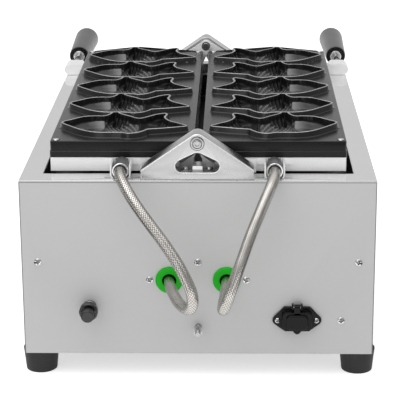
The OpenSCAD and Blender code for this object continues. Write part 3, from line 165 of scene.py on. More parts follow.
# Finishes: tone or the setting that holds it, roughness, metallic, drift of tone, drift of roughness, the grain's
# scale or three scales, the grain's height in metres, the blotches' scale, then edge lightening and specular level
# where they aren't 0 and 0.5
FINISHES = {
    "casing_sheet": ("metal.casing", 0.55, 0.15, 0.02, 0.02, 900, 2e-6, 5, 0.1),
    "bright_sheet": ("metal.bright", 0.05, 1, 0.02, 0.02, (1500, 50, 1500), 1e-6, 12),
    # Near black sheet for the well tray, base plate and brace: painted shade, as their steel lies in the shade
    "tray_sheet": ((0.06, 0.06, 0.062), 0.4, 0.7, 0.06, 0.06, (400, 90, 400), 2e-6, 9),
    "pan_sheet": ((0.94, 0.94, 0.94), 0.3, 0, 0.02, 0.04, (900, 60, 900), 4e-6, 10, 0.1),
    "cast_metal": ("metal.cast", 0.3, 1, 0.05, 0.06, 650, 5e-5, 30, 0.6),
    # A bright finish for the pedestals' rounded front edges: a painted highlight
    "burnished_edge": ((0.96, 0.96, 0.96), 0.25, 0.55, 0.03, 0.05, 650, 1e-5, 30),
    "bright_zinc": ((0.74, 0.74, 0.75), 0.16, 1, 0.06, 0.05, 900, 6e-6, 60, 0.2),
    "turned_steel": ((0.46, 0.46, 0.465), 0.26, 1, 0.08, 0.06, 900, 1e-5, 60, 0.3),
    "dark_metal": ((0.26, 0.26, 0.265), 0.24, 0.95, 0.1, 0.08, 700, 2e-5, 60),
    "rough_casting": ((0.30, 0.30, 0.31), 0.5, 0.85, 0.18, 0.08, 750, 1.2e-4, 90, 0.5),
    "nonstick_coating": ("mould.coating", 0.25, 0, 0.2, 0.05, 700, 3e-5, 22, 0, 0.55),
    "coated_side": ("mould.coating", 0.3, 0, 0.3, 0.08, (25, 25, 1500), 8e-5, 22, 0, 0.25),
    # Bright metal on the rims' lands: partly worn coating, partly a painted highlight of the sky they mirror
    "worn_land": ((0.45, 0.45, 0.46), 0.3, 0.9, 0.3, 0.08, 500, 2e-5, 40),
    "bush_bronze": ((0.50, 0.33, 0.16), 0.35, 1, 0.1, 0.06, 900, 2e-5, 80, 0.2),
    "black_plastic": ("plastic.black", 0.22, 0, 0.1, 0.05, 1100, 1e-5, 60, 0, 0.2),
    "gloss_black": ("plastic.black", 0.3, 0, 0.1, 0.04, 900, 1e-5, 60, 0, 0.7),
    "grip_plastic": ("plastic.grip", 0.34, 0, 0.06, 0.04, (500, 160, 500), 3e-5, 40),
    "foot_rubber": ("plastic.rubber", 0.55, 0, 0.15, 0.08, 800, 6e-5, 50, 0.3),
    "green_rubber": ("plastic.green", 0.5, 0, 0.05, 0.05, 900, 2e-5, 60, 0, 0.25),
    "heat_tinted_sheath": ((0.16, 0.145, 0.13), 0.42, 0.9, 0.25, 0.1, (300, 60, 300), 2e-5, 40),
    "pressed_board": ((0.74, 0.70, 0.60), 0.85, 0, 0.12, 0.05, 500, 1e-4, 60),
    "dial_print": ((0.02, 0.02, 0.021), 0.45, 0, 0.05, 0.03, 700, 1e-5, 40),
    "pointer_print": ((0.75, 0.75, 0.75), 0.4, 0, 0.05, 0.03, 700, 1e-5, 40),
    "control_body": ((0.45, 0.45, 0.46), 0.4, 0.9, 0.06, 0.05, 500, 3e-5, 40),
    "red_plastic": ((0.42, 0.012, 0.01), 0.28, 0, 0.06, 0.04, 900, 1e-5, 40),
    "amber_lens": ((0.62, 0.13, 0.012), 0.16, 0, 0.08, 0.04, 900, 1e-5, 50),
    "glazed_porcelain": ((0.78, 0.76, 0.70), 0.18, 0, 0.04, 0.04, 600, 2e-5, 40),
}


# ---------------------------------------------------------------------------------------------- settings

class StageSettings(bpy.types.PropertyGroup):
    key_power: FloatProperty(name="Key power", description="Power of the large lamp above the machine",
        default=9.0, unit="POWER")
    fill_power: FloatProperty(name="Fill power", description="Power of the lamp behind the camera",
        default=4.0, unit="POWER")
    sky: FloatProperty(name="Sky", description="Strength of the even light from all round", default=0.7)
    card_tone: FloatProperty(name="Sky ahead", description="Strength of the sky that the deck mirrors", default=0.32)
    sky_dim: FloatProperty(name="Dim sky", description="Strength of the mirrored sky behind the eye and at the sides",
        default=0.3)
    floor_tone: FloatVectorProperty(name="Floor", description="Colour of the floor", subtype="COLOR",
        default=(0.93, 0.93, 0.93))


class ConduitSettings(bpy.types.PropertyGroup):
    radius: FloatProperty(name="Radius", description="Radius of a braided conduit", default=0.0058, unit="LENGTH")
    sides: IntProperty(name="Sides", description="Points round a conduit", default=28)
    strand: FloatProperty(name="Strand relief", description="Height of the braid's strands", default=0.0002,
        unit="LENGTH")
    tone: FloatVectorProperty(name="Braid", description="Colour of the braid", subtype="COLOR",
        default=(0.60, 0.585, 0.56))


class MouldSettings(bpy.types.PropertyGroup):
    depth: FloatProperty(name="Cavity depth", description="Depth of a fish below its rim", default=0.014,
        unit="LENGTH")
    mesh_step: FloatProperty(name="Mesh step", description="Spacing of the points in a cavity", default=0.0008,
        unit="LENGTH")
    scale_pitch: FloatProperty(name="Scale pitch", description="Breadth of a scale", default=0.0072, unit="LENGTH")
    relief: FloatProperty(name="Relief", description="Height of the lines of a fish's scales", default=0.0014,
        unit="LENGTH")
    coating: FloatVectorProperty(name="Coating", description="Colour of the non-stick coating", subtype="COLOR",
        default=(0.007, 0.007, 0.008))


class MetalSettings(bpy.types.PropertyGroup):
    casing: FloatVectorProperty(name="Casing", description="Colour of the satin casing sheet", subtype="COLOR",
        default=(0.59, 0.59, 0.59))
    bright: FloatVectorProperty(name="Bright steel", description="Colour of the polished steel", subtype="COLOR",
        default=(0.93, 0.93, 0.93))
    cast: FloatVectorProperty(name="Castings", description="Colour of the cast pedestals", subtype="COLOR",
        default=(0.47, 0.47, 0.475))
    edge: FloatProperty(name="Edge radius", description="Rounding of sheet edges", default=0.0004, unit="LENGTH")


class PlasticSettings(bpy.types.PropertyGroup):
    grip: FloatVectorProperty(name="Grips", description="Colour of the grips", subtype="COLOR",
        default=(0.078, 0.078, 0.081))
    black: FloatVectorProperty(name="Black plastic", description="Colour of the inlet and knobs", subtype="COLOR",
        default=(0.005, 0.005, 0.0055))
    green: FloatVectorProperty(name="Grommets", description="Colour of the grommets", subtype="COLOR",
        default=(0.008, 0.44, 0.010))
    rubber: FloatVectorProperty(name="Feet", description="Colour of the rubber feet", subtype="COLOR",
        default=(0.009, 0.009, 0.0095))


class MachineSettings(bpy.types.PropertyGroup):
    stage: PointerProperty(type=StageSettings, name="Stage", description="Floor and lamps")
    conduit: PointerProperty(type=ConduitSettings, name="Conduits", description="Braided conduits")
    mould: PointerProperty(type=MouldSettings, name="Moulds", description="Mould plates")
    metal: PointerProperty(type=MetalSettings, name="Metals", description="Sheet, castings and fasteners")
    plastic: PointerProperty(type=PlasticSettings, name="Plastics", description="Grips, inlet, grommets and feet")


def settings():
    """The scene's settings of this machine."""
    return bpy.context.scene.fish_cake_machine


# ---------------------------------------------------------------------------------------------- mesh work

def circle(sides):
    """Angles of so many points round a circle."""
    return np.arange(sides) * 2 * math.pi / sides


def strip(rings, count, start=0):
    """The faces between closed rings of count points each, numbered from start."""
    return [(a + k, a + (k + 1) % count, a + count + (k + 1) % count, a + count + k)
        for a in range(start, start + (rings - 1) * count, count) for k in range(count)]


def fan(tip, start, count):
    """The triangles between a tip and a closed ring of count points."""
    return [(tip, start + k, start + (k + 1) % count) for k in range(count)]


def over(faces):
    """The faces turned over."""
    return [tuple(f)[::-1] for f in faces]


def outward(points, faces):
    """Faces in the order that makes the enclosed volume positive: the sum of the fan pyramids from the middle."""
    centre = points.mean(0)
    volume = 0.0
    for size in {len(f) for f in faces}:
        p = points[np.array([f for f in faces if len(f) == size])] - centre
        for k in range(1, size - 1):
            volume += np.einsum("ij,ij->i", p[:, 0], np.cross(p[:, k], p[:, k + 1])).sum()
    return faces if volume >= 0 else over(faces)


def joined(parts, closed=True):
    """Several (points, faces) as one; closed parts have their faces turned outward first."""
    points, faces, n = [], [], 0
    for p, f in parts:
        faces += [tuple(int(i) + n for i in q) for q in (outward(p, f) if closed else f)]
        points.append(p)
        n += len(p)
    return np.vstack(points), faces


def linked(name, data):
    """A new object in the scene."""
    obj = bpy.data.objects.new(name, data)
    bpy.context.scene.collection.objects.link(obj)
    return obj


def place(obj, body, look, stands_for=()):
    """Gives a piece its body and its finish, and hides the nodes that it stands for."""
    obj.data.materials.clear()
    obj.data.materials.append(finish(look) if isinstance(look, str) else look)
    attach(obj, body)
    if stands_for:
        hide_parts(*stands_for)
    return obj


def make(name, points, faces, sharp=35, closed=True):
    """A mesh object from points in millimetres and faces; edges sharper than the angle stay crisp."""
    points = np.asarray(points, float)
    faces = [tuple(int(i) for i in f) for f in faces]
    mesh = bpy.data.meshes.new(name)
    mesh.from_pydata((points * MM).tolist(), [], outward(points, faces) if closed else faces)
    mesh.update()
    mesh.shade_smooth()
    mesh.set_sharp_from_angle(angle=math.radians(sharp))
    return linked(name, mesh)


def reworked(mesh, sharp, reach, *steps):
    """Merges a mesh's doubled points within reach (metres), runs the steps on it and marks its sharp edges."""
    work = bmesh.new()
    work.from_mesh(mesh)
    bmesh.ops.remove_doubles(work, verts=work.verts, dist=reach)
    for step in steps:
        step(work)
    work.to_mesh(mesh)
    work.free()
    if "custom_normal" in mesh.attributes:
        mesh.attributes.remove(mesh.attributes["custom_normal"])
    mesh.shade_smooth()
    mesh.set_sharp_from_angle(angle=math.radians(sharp))


def dressed(node, look, width=0.3, segments=2, sharp=32, cut=0):
    """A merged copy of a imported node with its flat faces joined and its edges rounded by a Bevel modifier.
    Faces of more than cut corners are triangulated first, as a sheet's faces round a wide opening need."""

    def flatten(work):
        bmesh.ops.dissolve_limit(work, angle_limit=math.radians(1.0), verts=work.verts, edges=work.edges,
            use_dissolve_boundaries=False)
        if cut:
            bmesh.ops.triangulate(work, faces=[f for f in work.faces if len(f.verts) > cut])

    source = frame["nodes"][node]
    mesh = source.data.copy()
    mesh.name = node + "_finished"
    reworked(mesh, sharp, 2e-6, flatten)
    obj = linked(node + "_finished", mesh)
    if width:
        bevel = obj.modifiers.new("rounded_edges", "BEVEL")
        bevel.width = width * MM
        bevel.segments = segments
        bevel.limit_method = "ANGLE"
        bevel.angle_limit = math.radians(28)
        bevel.miter_outer = "MITER_ARC" if segments > 1 else "MITER_SHARP"
        even = obj.modifiers.new("flat_faces", "WEIGHTED_NORMAL")
        even.mode = "FACE_AREA"
        even.weight = 100
        even.keep_sharp = True
    return place(obj, source["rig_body"], look, [node])


def second_finish(obj, look, chosen):
    """Gives the faces that are chosen by their centres (millimetres) and normals a second finish."""
    mesh = obj.data
    mesh.materials.append(finish(look))
    count = len(mesh.polygons)
    centres, normals, old = np.empty(count * 3), np.empty(count * 3), np.empty(count, int)
    mesh.polygons.foreach_get("center", centres)
    mesh.polygons.foreach_get("normal", normals)
    mesh.polygons.foreach_get("material_index", old)
    index = np.where(chosen(centres.reshape(-1, 3) / MM, normals.reshape(-1, 3)), len(mesh.materials) - 1, 0)
    mesh.polygons.foreach_set("material_index", np.maximum(index, old))
    mesh.update()


def turned(profile, centre, axis=ALONG_Y, sides=48, ring=False):
    """A lathe form: each (radius, distance) of the profile goes round the axis through centre.
    Point = centre + distance * axis + radius * (cos a * u + sin a * v). A radius of 0 closes an end in a pole;
    ring=True joins the profile's last point to its first, as for a hollow ring."""
    w = np.array(axis, float) / np.linalg.norm(axis)
    u = np.cross(w, [0.0, 0.0, 1.0] if abs(w[2]) < 0.9 else [1.0, 0.0, 0.0])
    u /= np.linalg.norm(u)
    a = circle(sides)
    about = np.cos(a)[:, None] * u + np.sin(a)[:, None] * np.cross(w, u)
    points, rows, faces = [], [], []
    for r, t in profile:
        base = np.array(centre, float) + t * w
        count = sides if r else 1
        rows.append(list(range(len(points), len(points) + count)))
        points += list(base + r * about[:count]) if r else [base]
    for lower, upper in list(zip(rows, rows[1:])) + ([(rows[-1], rows[0])] if ring else []):
        if len(lower) == 1:
            faces += fan(lower[0], upper[0], sides)
        elif len(upper) == 1:
            faces += [(k, j, tip) for tip, k, j in fan(upper[0], lower[0], sides)]
        else:
            faces += [(a, b, d, c) for a, b, c, d in zip(lower, lower[1:] + lower[:1], upper, upper[1:] + upper[:1])]
    return np.array(points), faces


def catmull(a, b, c, d, t):
    """The Catmull-Rom curve from b to c at shares t."""
    return 0.5 * (2 * b + (c - a) * t + (2 * a - 5 * b + 4 * c - d) * t ** 2 + (3 * b - a - 3 * c + d) * t ** 3)


def smooth_route(route, steps):
    """A Catmull-Rom curve through the route's points, with so many steps between neighbours."""
    p = np.asarray(route, float)
    q = np.vstack([2 * p[0] - p[1], p, 2 * p[-1] - p[-2]])
    t = np.arange(steps)[:, None] / steps
    return np.vstack([catmull(*four, t) for four in zip(q[:-3], q[1:-2], q[2:-1], q[3:])] + [p[-1:]])


def carried(line):
    """Two normals at each point of a line, carried along it without twist."""
    t = np.gradient(line, axis=0)
    t /= np.linalg.norm(t, axis=1)[:, None]
    n = np.array(ALONG_Z, float)
    u = np.empty_like(line)
    for i, ti in enumerate(t):
        n = n - n.dot(ti) * ti
        n /= np.linalg.norm(n)
        u[i] = n
    return u, np.cross(t, u)


def tube(line, radius, sides):
    """A round tube about a line: point = line + radius * (cos a * u + sin a * v), closed by a fan at each end."""
    u, v = carried(line)
    a = circle(sides)[None, :, None]
    rings = line[:, None] + radius * (np.cos(a) * u[:, None] + np.sin(a) * v[:, None])
    m = len(line)
    tip = m * sides
    points = np.vstack([rings.reshape(-1, 3), line[:1], line[-1:]])
    return points, strip(m, sides) + over(fan(tip, 0, sides)) + fan(tip + 1, tip - sides, sides)


def ease(x, low, high):
    """0 below low, 1 above high and a smooth rise between."""
    t = np.clip((x - low) / (high - low), 0, 1)
    return t * t * (3 - 2 * t)


def fall(x, low, high):
    """1 below low, 0 above high and a smooth fall between."""
    return 1 - ease(x, low, high)


def away(line, out):
    """The outline moved along its normals, outwards for a positive distance."""
    t = np.roll(line, -1, axis=0) - np.roll(line, 1, axis=0)
    t /= np.linalg.norm(t, axis=1)[:, None]
    return line + out * np.stack([t[:, 1], -t[:, 0]], 1)


def distance_inside(points, line):
    """Distance of each point to a closed outline, positive inside: nearest segment, and the crossing count."""
    a, b = line, np.roll(line, -1, axis=0)
    e = b - a
    result = np.empty(len(points))
    chunk = 4000
    for start in range(0, len(points), chunk):
        p = points[start:start + chunk]
        w = p[:, None] - a[None]
        t = np.clip((w * e).sum(-1) / (e * e).sum(-1), 0, 1)
        near = np.linalg.norm(w - t[..., None] * e, axis=-1).min(1)
        above = (a[None, :, 1] > p[:, 1:2]) != (b[None, :, 1] > p[:, 1:2])
        with np.errstate(divide="ignore", invalid="ignore"):
            x = a[None, :, 0] + (p[:, 1:2] - a[None, :, 1]) * e[None, :, 0] / e[None, :, 1]
        inside = (above & (p[:, 0:1] < x)).sum(1) % 2 == 1
        result[start:start + chunk] = np.where(inside, near, -near)
    return result


def between(points, outer, holes):
    """Says which points lie inside an outline and in none of its holes."""
    good = distance_inside(points, outer) > 0
    for hole in holes:
        near = good & ((points > hole.min(0)) & (points < hole.max(0))).all(1)
        good[near] = distance_inside(points[near], hole) < 0
    return good


def gathered(rings):
    """The points of rings together and the edges of those that are closed; each ring comes with closed or not."""
    edges, n = [], 0
    for ring, closed in rings:
        edges += [(n + k, n + (k + 1) % len(ring)) for k in range(len(ring))] if closed else []
        n += len(ring)
    return np.vstack([ring for ring, closed in rings]), edges


def triangles(rings, keep):
    """The constrained triangulation of rings; keep says by centre which faces stay."""
    points, edges = gathered(rings)
    out = delaunay_2d_cdt([Vector(p) for p in points], edges, [], 0, 1e-5)
    flat = np.array([tuple(p) for p in out[0]])
    faces = np.array([f for f in out[2] if len(f) == 3])
    faces = faces[keep(flat[faces].mean(1))]
    a, b, c = (flat[faces[:, k]] for k in range(3))
    ab, ac = b - a, c - a
    area = ab[:, 0] * ac[:, 1] - ab[:, 1] * ac[:, 0]
    faces[area < 0] = faces[area < 0][:, ::-1]
    return flat, faces


def arc(cx, cz, r, start, end, steps):
    """Points of an arc from one angle to the other, in degrees."""
    a = np.radians(np.linspace(start, end, steps + 1))
    return np.column_stack([cx + r * np.cos(a), cz + r * np.sin(a)])


def rounded_rectangle(low, high, r, steps=6):
    """A rectangle's outline with round corners, against the clock."""
    (x0, y0), (x1, y1) = np.add(low, r), np.subtract(high, r)
    return np.vstack([arc(x, y, r, turn, turn + 90, steps)
        for x, y, turn in ((x1, y0, -90), (x1, y1, 0), (x0, y1, 90), (x0, y0, 180))])


def walls(rings):
    """The strip of faces between closed outlines in X and Z, each given with its depth."""
    points = [np.column_stack([p[:, 0], np.full(len(p), depth), p[:, 1]]) for p, depth in rings]
    return np.vstack(points), strip(len(rings), len(rings[0][0]))


def web(outer, holes, depth):
    """A flat face at a depth inside an outline, with holes."""
    flat, faces = triangles([(ring, True) for ring in [outer] + holes], lambda c: between(c, outer, holes))
    return np.column_stack([flat[:, 0], np.full(len(flat), depth), flat[:, 1]]), [tuple(f) for f in faces]


def plaque(outline, y0, y1, soft, steps=3):
    """An outline in X and Z carried along Y from its back y0 to its front y1, the front edge a quarter round."""
    way = np.sign(y1 - y0)
    rings = [(outline, y0), (outline, y1 - way * soft)]
    for k in range(1, steps + 1):
        a = 0.5 * math.pi * k / steps
        rings.append((away(outline, -soft * (1 - math.cos(a))), y1 - way * soft * (1 - math.sin(a))))
    points, faces = walls(rings)
    n = len(outline)
    return points, faces + [tuple(range(n)), tuple(len(points) - n + k for k in reversed(range(n)))]


def shaft(x, z, r, y0, y1):
    """A plain rod along Y with a small chamfer at both ends."""
    c, long = min(0.25, r / 4), y1 - y0
    return turned([(0, 0), (r - c, 0), (r, c), (r, long - c), (r - c, long), (0, long)], (x, y0, z), sides=32)


def hex_nut(x, z, r, low, high):
    """A hexagonal nut along Y whose corners are turned off at both ends: each corner's radius falls by a tenth."""
    n, c = 24, (high - low) * 0.16
    a = circle(n)
    flat = math.cos(math.pi / 6) / np.cos(a % (math.pi / 3) - math.pi / 6)
    points = []
    for y, cut in ((low, 0.9), (low + c, 1.0), (high - c, 1.0), (high, 0.9)):
        rr = r * np.minimum(flat, cut)
        points.append(np.column_stack([x + rr * np.cos(a), np.full(n, y), z + rr * np.sin(a)]))
    points.append([(x, low, z), (x, high, z)])
    return np.vstack(points), strip(4, n) + over(fan(4 * n, 0, n)) + fan(4 * n + 1, 3 * n, n)


def cross_head(x, y, z, r, h, turn):
    """A domed head towards -Y with a cross recess: height h * (1 - 0.75 * (rho / r)^2)^0.7 less the cross, whose arms
    are bands of 0.34 r across that fade out at 0.64 r."""
    sides = 64
    a = circle(sides)
    t = a + math.radians(turn)
    points = [[(x, y - h * 0.3, z)]]
    rings = np.array([0.1, 0.2, 0.3, 0.38, 0.46, 0.54, 0.62, 0.7, 0.8, 0.9, 0.97, 1.0]) * r
    for q in rings:
        dome = h * (1 - 0.75 * (q / r) ** 2) ** 0.7 if q < r else 0.3 * h
        arm = np.maximum(*(fall(np.abs(q * way(a)), 0.13 * r, 0.21 * r) for way in (np.cos, np.sin)))
        up = dome - 0.72 * h * arm * fall(q, 0.52 * r, 0.68 * r)
        points.append(np.column_stack([x + q * np.cos(t), y - up, z + q * np.sin(t)]))
    points += [np.column_stack([x + r * np.cos(t), np.full(sides, y), z + r * np.sin(t)]), [(x, y, z)]]
    last = 1 + len(rings) * sides
    faces = fan(0, 1, sides) + [(a, d, c, b) for a, b, c, d in strip(len(rings) + 1, sides, 1)]
    return np.vstack(points), faces + over(fan(last + sides, last, sides))


def recesses(heads):
    """Says which faces lie in the cross of one of the heads, each given as x, z, radius and turn."""
    def chosen(c, n):
        found = np.zeros(len(c), bool)
        for x, z, r, turn in heads:
            dx, dz, t = c[:, 0] - x, c[:, 2] - z, math.radians(turn)
            u, v = np.abs(dx * math.cos(t) + dz * math.sin(t)), np.abs(dz * math.cos(t) - dx * math.sin(t))
            found |= (np.hypot(u, v) < 0.62 * r) & (c[:, 1] < REAR + 0.5) & (np.minimum(u, v) < 0.17 * r)
        return found
    return chosen


def threaded(x, z, r, y0, y1, pitch, depth):
    """A threaded rod along Y: one ridge after another, r at the crests and r - depth at the roots."""
    root, t = r - depth, 0.4 * pitch
    profile = [(0, 0), (root, 0)]
    while t < y1 - y0 - pitch:
        profile += [(root, t), (r, t + 0.4 * pitch), (r, t + 0.55 * pitch), (root, t + 0.95 * pitch)]
        t += pitch
    return turned(profile + [(root, y1 - y0), (0, y1 - y0)], (x, y0, z), sides=32)


# ---------------------------------------------------------------------------------------------- materials

def fill(tree, n, inputs):
    """Sets or links a node's inputs by name or number."""
    for key, value in inputs.items():
        if isinstance(value, bpy.types.NodeSocket):
            tree.links.new(value, n.inputs[key])
        else:
            n.inputs[key].default_value = value
    return n


def add(tree, kind, inputs=None, **values):
    """A node of that kind with its attributes and inputs set."""
    n = tree.nodes.new("ShaderNode" + kind)
    for key, value in values.items():
        setattr(n, key, value)
    return fill(tree, n, inputs or {})


def maths(tree, kind, *values):
    return add(tree, "Math", dict(enumerate(values)), operation=kind).outputs[0]


def mixed(tree, share, a, b):
    """A number between a and b by a share from 0 to 1."""
    return add(tree, "Mix", {"Factor": share, "A": a, "B": b}, data_type="FLOAT").outputs[0]


def shades(tree, share, *colours):
    """A colour between two by a share from 0 to 1; each is a socket or three numbers."""
    a, b = (c if isinstance(c, bpy.types.NodeSocket) else (*c, 1) for c in colours)
    return add(tree, "Mix", {"Factor": share, "A": a, "B": b}, data_type="RGBA").outputs["Result"]


def spread(tree, value, low, high, source=(0.3, 0.7)):
    """A value moved from its own range to low..high."""
    return add(tree, "MapRange",
        {"Value": value, "From Min": source[0], "From Max": source[1], "To Min": low, "To Max": high}).outputs[0]


def noise(tree, at, scale, detail, rough=0.5):
    return add(tree, "TexNoise", {"Vector": at, "Scale": scale, "Detail": detail, "Roughness": rough}).outputs[0]


def coordinates(tree, kind="Object"):
    return add(tree, "TexCoord").outputs[kind]


def split(tree, vector):
    return add(tree, "SeparateXYZ", {0: vector}).outputs


def blank(name):
    """A new material with a Principled shader; returns it with its node tree and shader."""
    material = bpy.data.materials.new(name)
    material.use_nodes = True
    tree = material.node_tree
    tree.nodes.clear()
    shader = add(tree, "BsdfPrincipled")
    add(tree, "OutputMaterial", {"Surface": shader.outputs["BSDF"]})
    return material, tree, shader


def shader_of(material):
    """A material's tree, its shader and the socket that feeds the shader's colour."""
    tree = material.node_tree
    shader = next(n for n in tree.nodes if n.type == "BSDF_PRINCIPLED")
    return tree, shader, shader.inputs["Base Color"].links[0].from_socket


@cache
def finish(name):
    """A material from the table: colour and roughness drift with a broad noise, the surface carries a fine grain
    stretched by the grain's three scales, and the edge lightening makes sharp edges lighter by the mesh's pointiness."""
    row = FINISHES[name]
    row += (0, 0.5)[len(row) - 8:]
    tone, rough, metallic, vary, rough_vary, grain, grain_height, blotch, edge_lightening, specular = row
    if isinstance(tone, str):
        group, key = tone.split(".")
        tone = tuple(getattr(getattr(settings(), group), key))
    material, tree, shader = blank(name)
    at = coordinates(tree)
    grains = grain if isinstance(grain, tuple) else (grain,) * 3
    fine = noise(tree, add(tree, "Mapping", {"Vector": at, "Scale": grains}).outputs[0], 1.0, 3.0, 0.6)
    drift, reach = maths(tree, "ADD", noise(tree, at, blotch, 4.0, 0.55), fine), (0.7, 1.3)
    colour = shades(tree, spread(tree, drift, 0.0, 1.0, reach),
        [c * (1 - vary) for c in tone], [min(c * (1 + vary), 1) for c in tone])
    # Sharp outer edges lighter in the colour, by the mesh's pointiness
    if edge_lightening:
        edge = spread(tree, add(tree, "NewGeometry").outputs["Pointiness"], 0.0, edge_lightening, (0.52, 0.6))
        colour = shades(tree, edge, colour, [min(c * 1.5 + 0.06, 1) for c in tone])
    bump = add(tree, "Bump", {"Height": fine, "Distance": grain_height, "Strength": 1.0}).outputs[0]
    fill(tree, shader, {"Base Color": colour, "Metallic": metallic, "Specular IOR Level": specular, "Normal": bump,
        "Roughness": spread(tree, drift, max(rough - rough_vary, 0.02), rough + rough_vary, reach)})
    return material


@cache
def panel_sheet():
    """The satin sheet with painted shade at its seams: colour falls off towards near black within a millimetre of the
    panel's sides and its top, where the gaps to the side panels and the deck lie in shade.
    """
    material = finish("casing_sheet").copy()
    material.name = "panel_sheet"
    tree, shader, colour = shader_of(material)
    at = split(tree, coordinates(tree))
    side = spread(tree, maths(tree, "ABSOLUTE", at[0]), 0.0, 1.0, ((HALF_W - 1.3) * MM, (HALF_W - 0.5) * MM))
    top = spread(tree, at[2], 0.0, 1.0, ((PANEL_HIGH[2] - 0.6) * MM, (PANEL_HIGH[2] - 0.2) * MM))
    # Painted shade: the shadow gaps at the panel's sides and under the deck, darkened in the colour
    seam_shade = maths(tree, "MULTIPLY", maths(tree, "MAXIMUM", side, top), 0.75)
    fill(tree, shader, {"Base Color": shades(tree, seam_shade, colour, (0.02, 0.02, 0.02))})
    return material


@cache
def nonstick():
    """The coating, lighter where the mesh's own polish attribute is above 0, for the cakes' rubbing and a
    painted glint, and without a gleam where it is below 0, as painted shade."""
    material = finish("nonstick_coating")
    tree, shader, colour = shader_of(material)
    polish = add(tree, "Attribute", attribute_name="polish").outputs["Fac"]
    rubbed_and_glinting = spread(tree, polish, 0.0, 1.0, (0.0, 1.0))
    # Painted glint and wear lighten the colour; painted shade lowers the specular level
    fill(tree, shader, {"Base Color": shades(tree, rubbed_and_glinting, colour, (0.30, 0.30, 0.305)),
        "Specular IOR Level": spread(tree, polish, 0.1, 0.55, (-1.0, 0.0))})
    return material


@cache
def braid():
    """Two families of strands wind round the conduit in opposite senses; where they cross, each lies over and
    under in turn, so the height is |sin| of the strand on top. Colour and roughness follow the height: the strands'
    crowns are painted lighter and the hollows between them painted darker, as light and shade."""
    s = settings().conduit
    material, tree, shader = blank("conduit_braid")
    uv = split(tree, add(tree, "UVMap", uv_map="route").outputs[0])
    around, along = maths(tree, "MULTIPLY", uv[0], 12.0), maths(tree, "MULTIPLY", uv[1], 330.0)
    waves = [maths(tree, "SINE", maths(tree, "MULTIPLY", maths(tree, sense, around, along), math.pi))
        for sense in ("ADD", "SUBTRACT")]
    on_top = spread(tree, maths(tree, "MULTIPLY", *waves), 0.0, 1.0, (-0.1, 0.1))
    height = mixed(tree, on_top, *(maths(tree, "ABSOLUTE", wave) for wave in waves))
    # Painted light and shade: crowns of the strands lighter, hollows between them darker
    tone = shades(tree, spread(tree, height, 0.0, 1.0, (0.1, 0.8)), [c * 0.14 for c in s.tone],
        [min(c * 1.25, 1) for c in s.tone])
    grime = spread(tree, noise(tree, coordinates(tree), 120.0, 5.0), 0.0, 0.35)
    bump = add(tree, "Bump", {"Height": height, "Distance": s.strand, "Strength": 0.9}).outputs[0]
    fill(tree, shader, {"Base Color": shades(tree, grime, tone, (0.30, 0.26, 0.22)), "Metallic": 1.0, "Normal": bump,
        "Roughness": spread(tree, height, 0.3, 0.16, (0.0, 1.0))})
    return material


# ---------------------------------------------------------------------------------------------- stage

def build_camera():
    """The photograph's eye, behind the machine and above it."""
    yaw, pitch, roll = (math.radians(a) for a in EYE_TURN)
    ahead = Vector((-math.sin(yaw) * math.cos(pitch), math.cos(yaw) * math.cos(pitch), -math.sin(pitch)))
    side = Vector((math.cos(yaw), math.sin(yaw), 0))
    top = side.cross(ahead)
    right = side * math.cos(roll) + top * math.sin(roll)
    up = -side * math.sin(roll) + top * math.cos(roll)
    data = bpy.data.cameras.new("rear_view")
    data.sensor_width = 36
    data.sensor_fit = "HORIZONTAL"
    data.lens = FOCAL / PICTURE * data.sensor_width
    data.clip_start = 0.05
    data.clip_end = 50
    camera = linked("rear_view", data)
    camera.matrix_world = Matrix([*zip(right, up, -ahead, EYE), (0, 0, 0, 1)])
    bpy.context.scene.camera = camera


def lamp(name, place_at, size, power):
    """A square area lamp that faces the machine."""
    data = bpy.data.lights.new(name, "AREA")
    data.shape = "SQUARE"
    data.size = size
    data.energy = power
    obj = linked(name, data)
    obj.location = place_at
    obj.rotation_euler = (Vector((0, -0.07, 0.2)) - Vector(place_at)).to_track_quat("-Z", "Y").to_euler()


def flag(name, x):
    """A nearly black card that lies beside the machine and only shows in reflections."""
    half, y, z = 360, -500, 1
    corners = [(x - half, y - half, z), (x + half, y - half, z), (x + half, y + half, z), (x - half, y + half, z)]
    obj = make(name, corners, [(0, 1, 2, 3)], closed=False)
    material, tree, shader = blank(name + "_glow")
    fill(tree, shader, {"Base Color": (0, 0, 0, 1), "Specular IOR Level": 0.0, "Emission Color": (1, 1, 1, 1),
        "Emission Strength": 0.02})
    obj.data.materials.append(material)
    obj.visible_camera = obj.visible_diffuse = obj.visible_shadow = obj.visible_transmission = False


def build_floor():
    """A wide pale floor that glows faintly: white enough for the eye, and in reflections brighter in front."""
    half, z = 6000, -0.05
    floor = make("floor", [(-half, -half, z), (half, -half, z), (half, half, z), (-half, half, z)], [(0, 1, 2, 3)],
        closed=False)
    material, tree, shader = blank("floor_white")
    path = add(tree, "LightPath").outputs
    seen = maths(tree, "MAXIMUM", path["Is Camera Ray"], path["Is Glossy Ray"])
    seen = maths(tree, "MAXIMUM", seen, path["Is Transmission Ray"])
    mirrored = spread(tree, split(tree, coordinates(tree))[1], 0.64, 0.44, (-1.1, -0.35))
    glow = maths(tree, "MULTIPLY", mixed(tree, path["Is Camera Ray"], mirrored, 0.6), seen)
    fill(tree, shader, {"Base Color": (*settings().stage.floor_tone, 1), "Roughness": 0.9, "Specular IOR Level": 0.0,
        "Emission Color": (1, 1, 1, 1), "Emission Strength": glow})
    floor.data.materials.append(material)


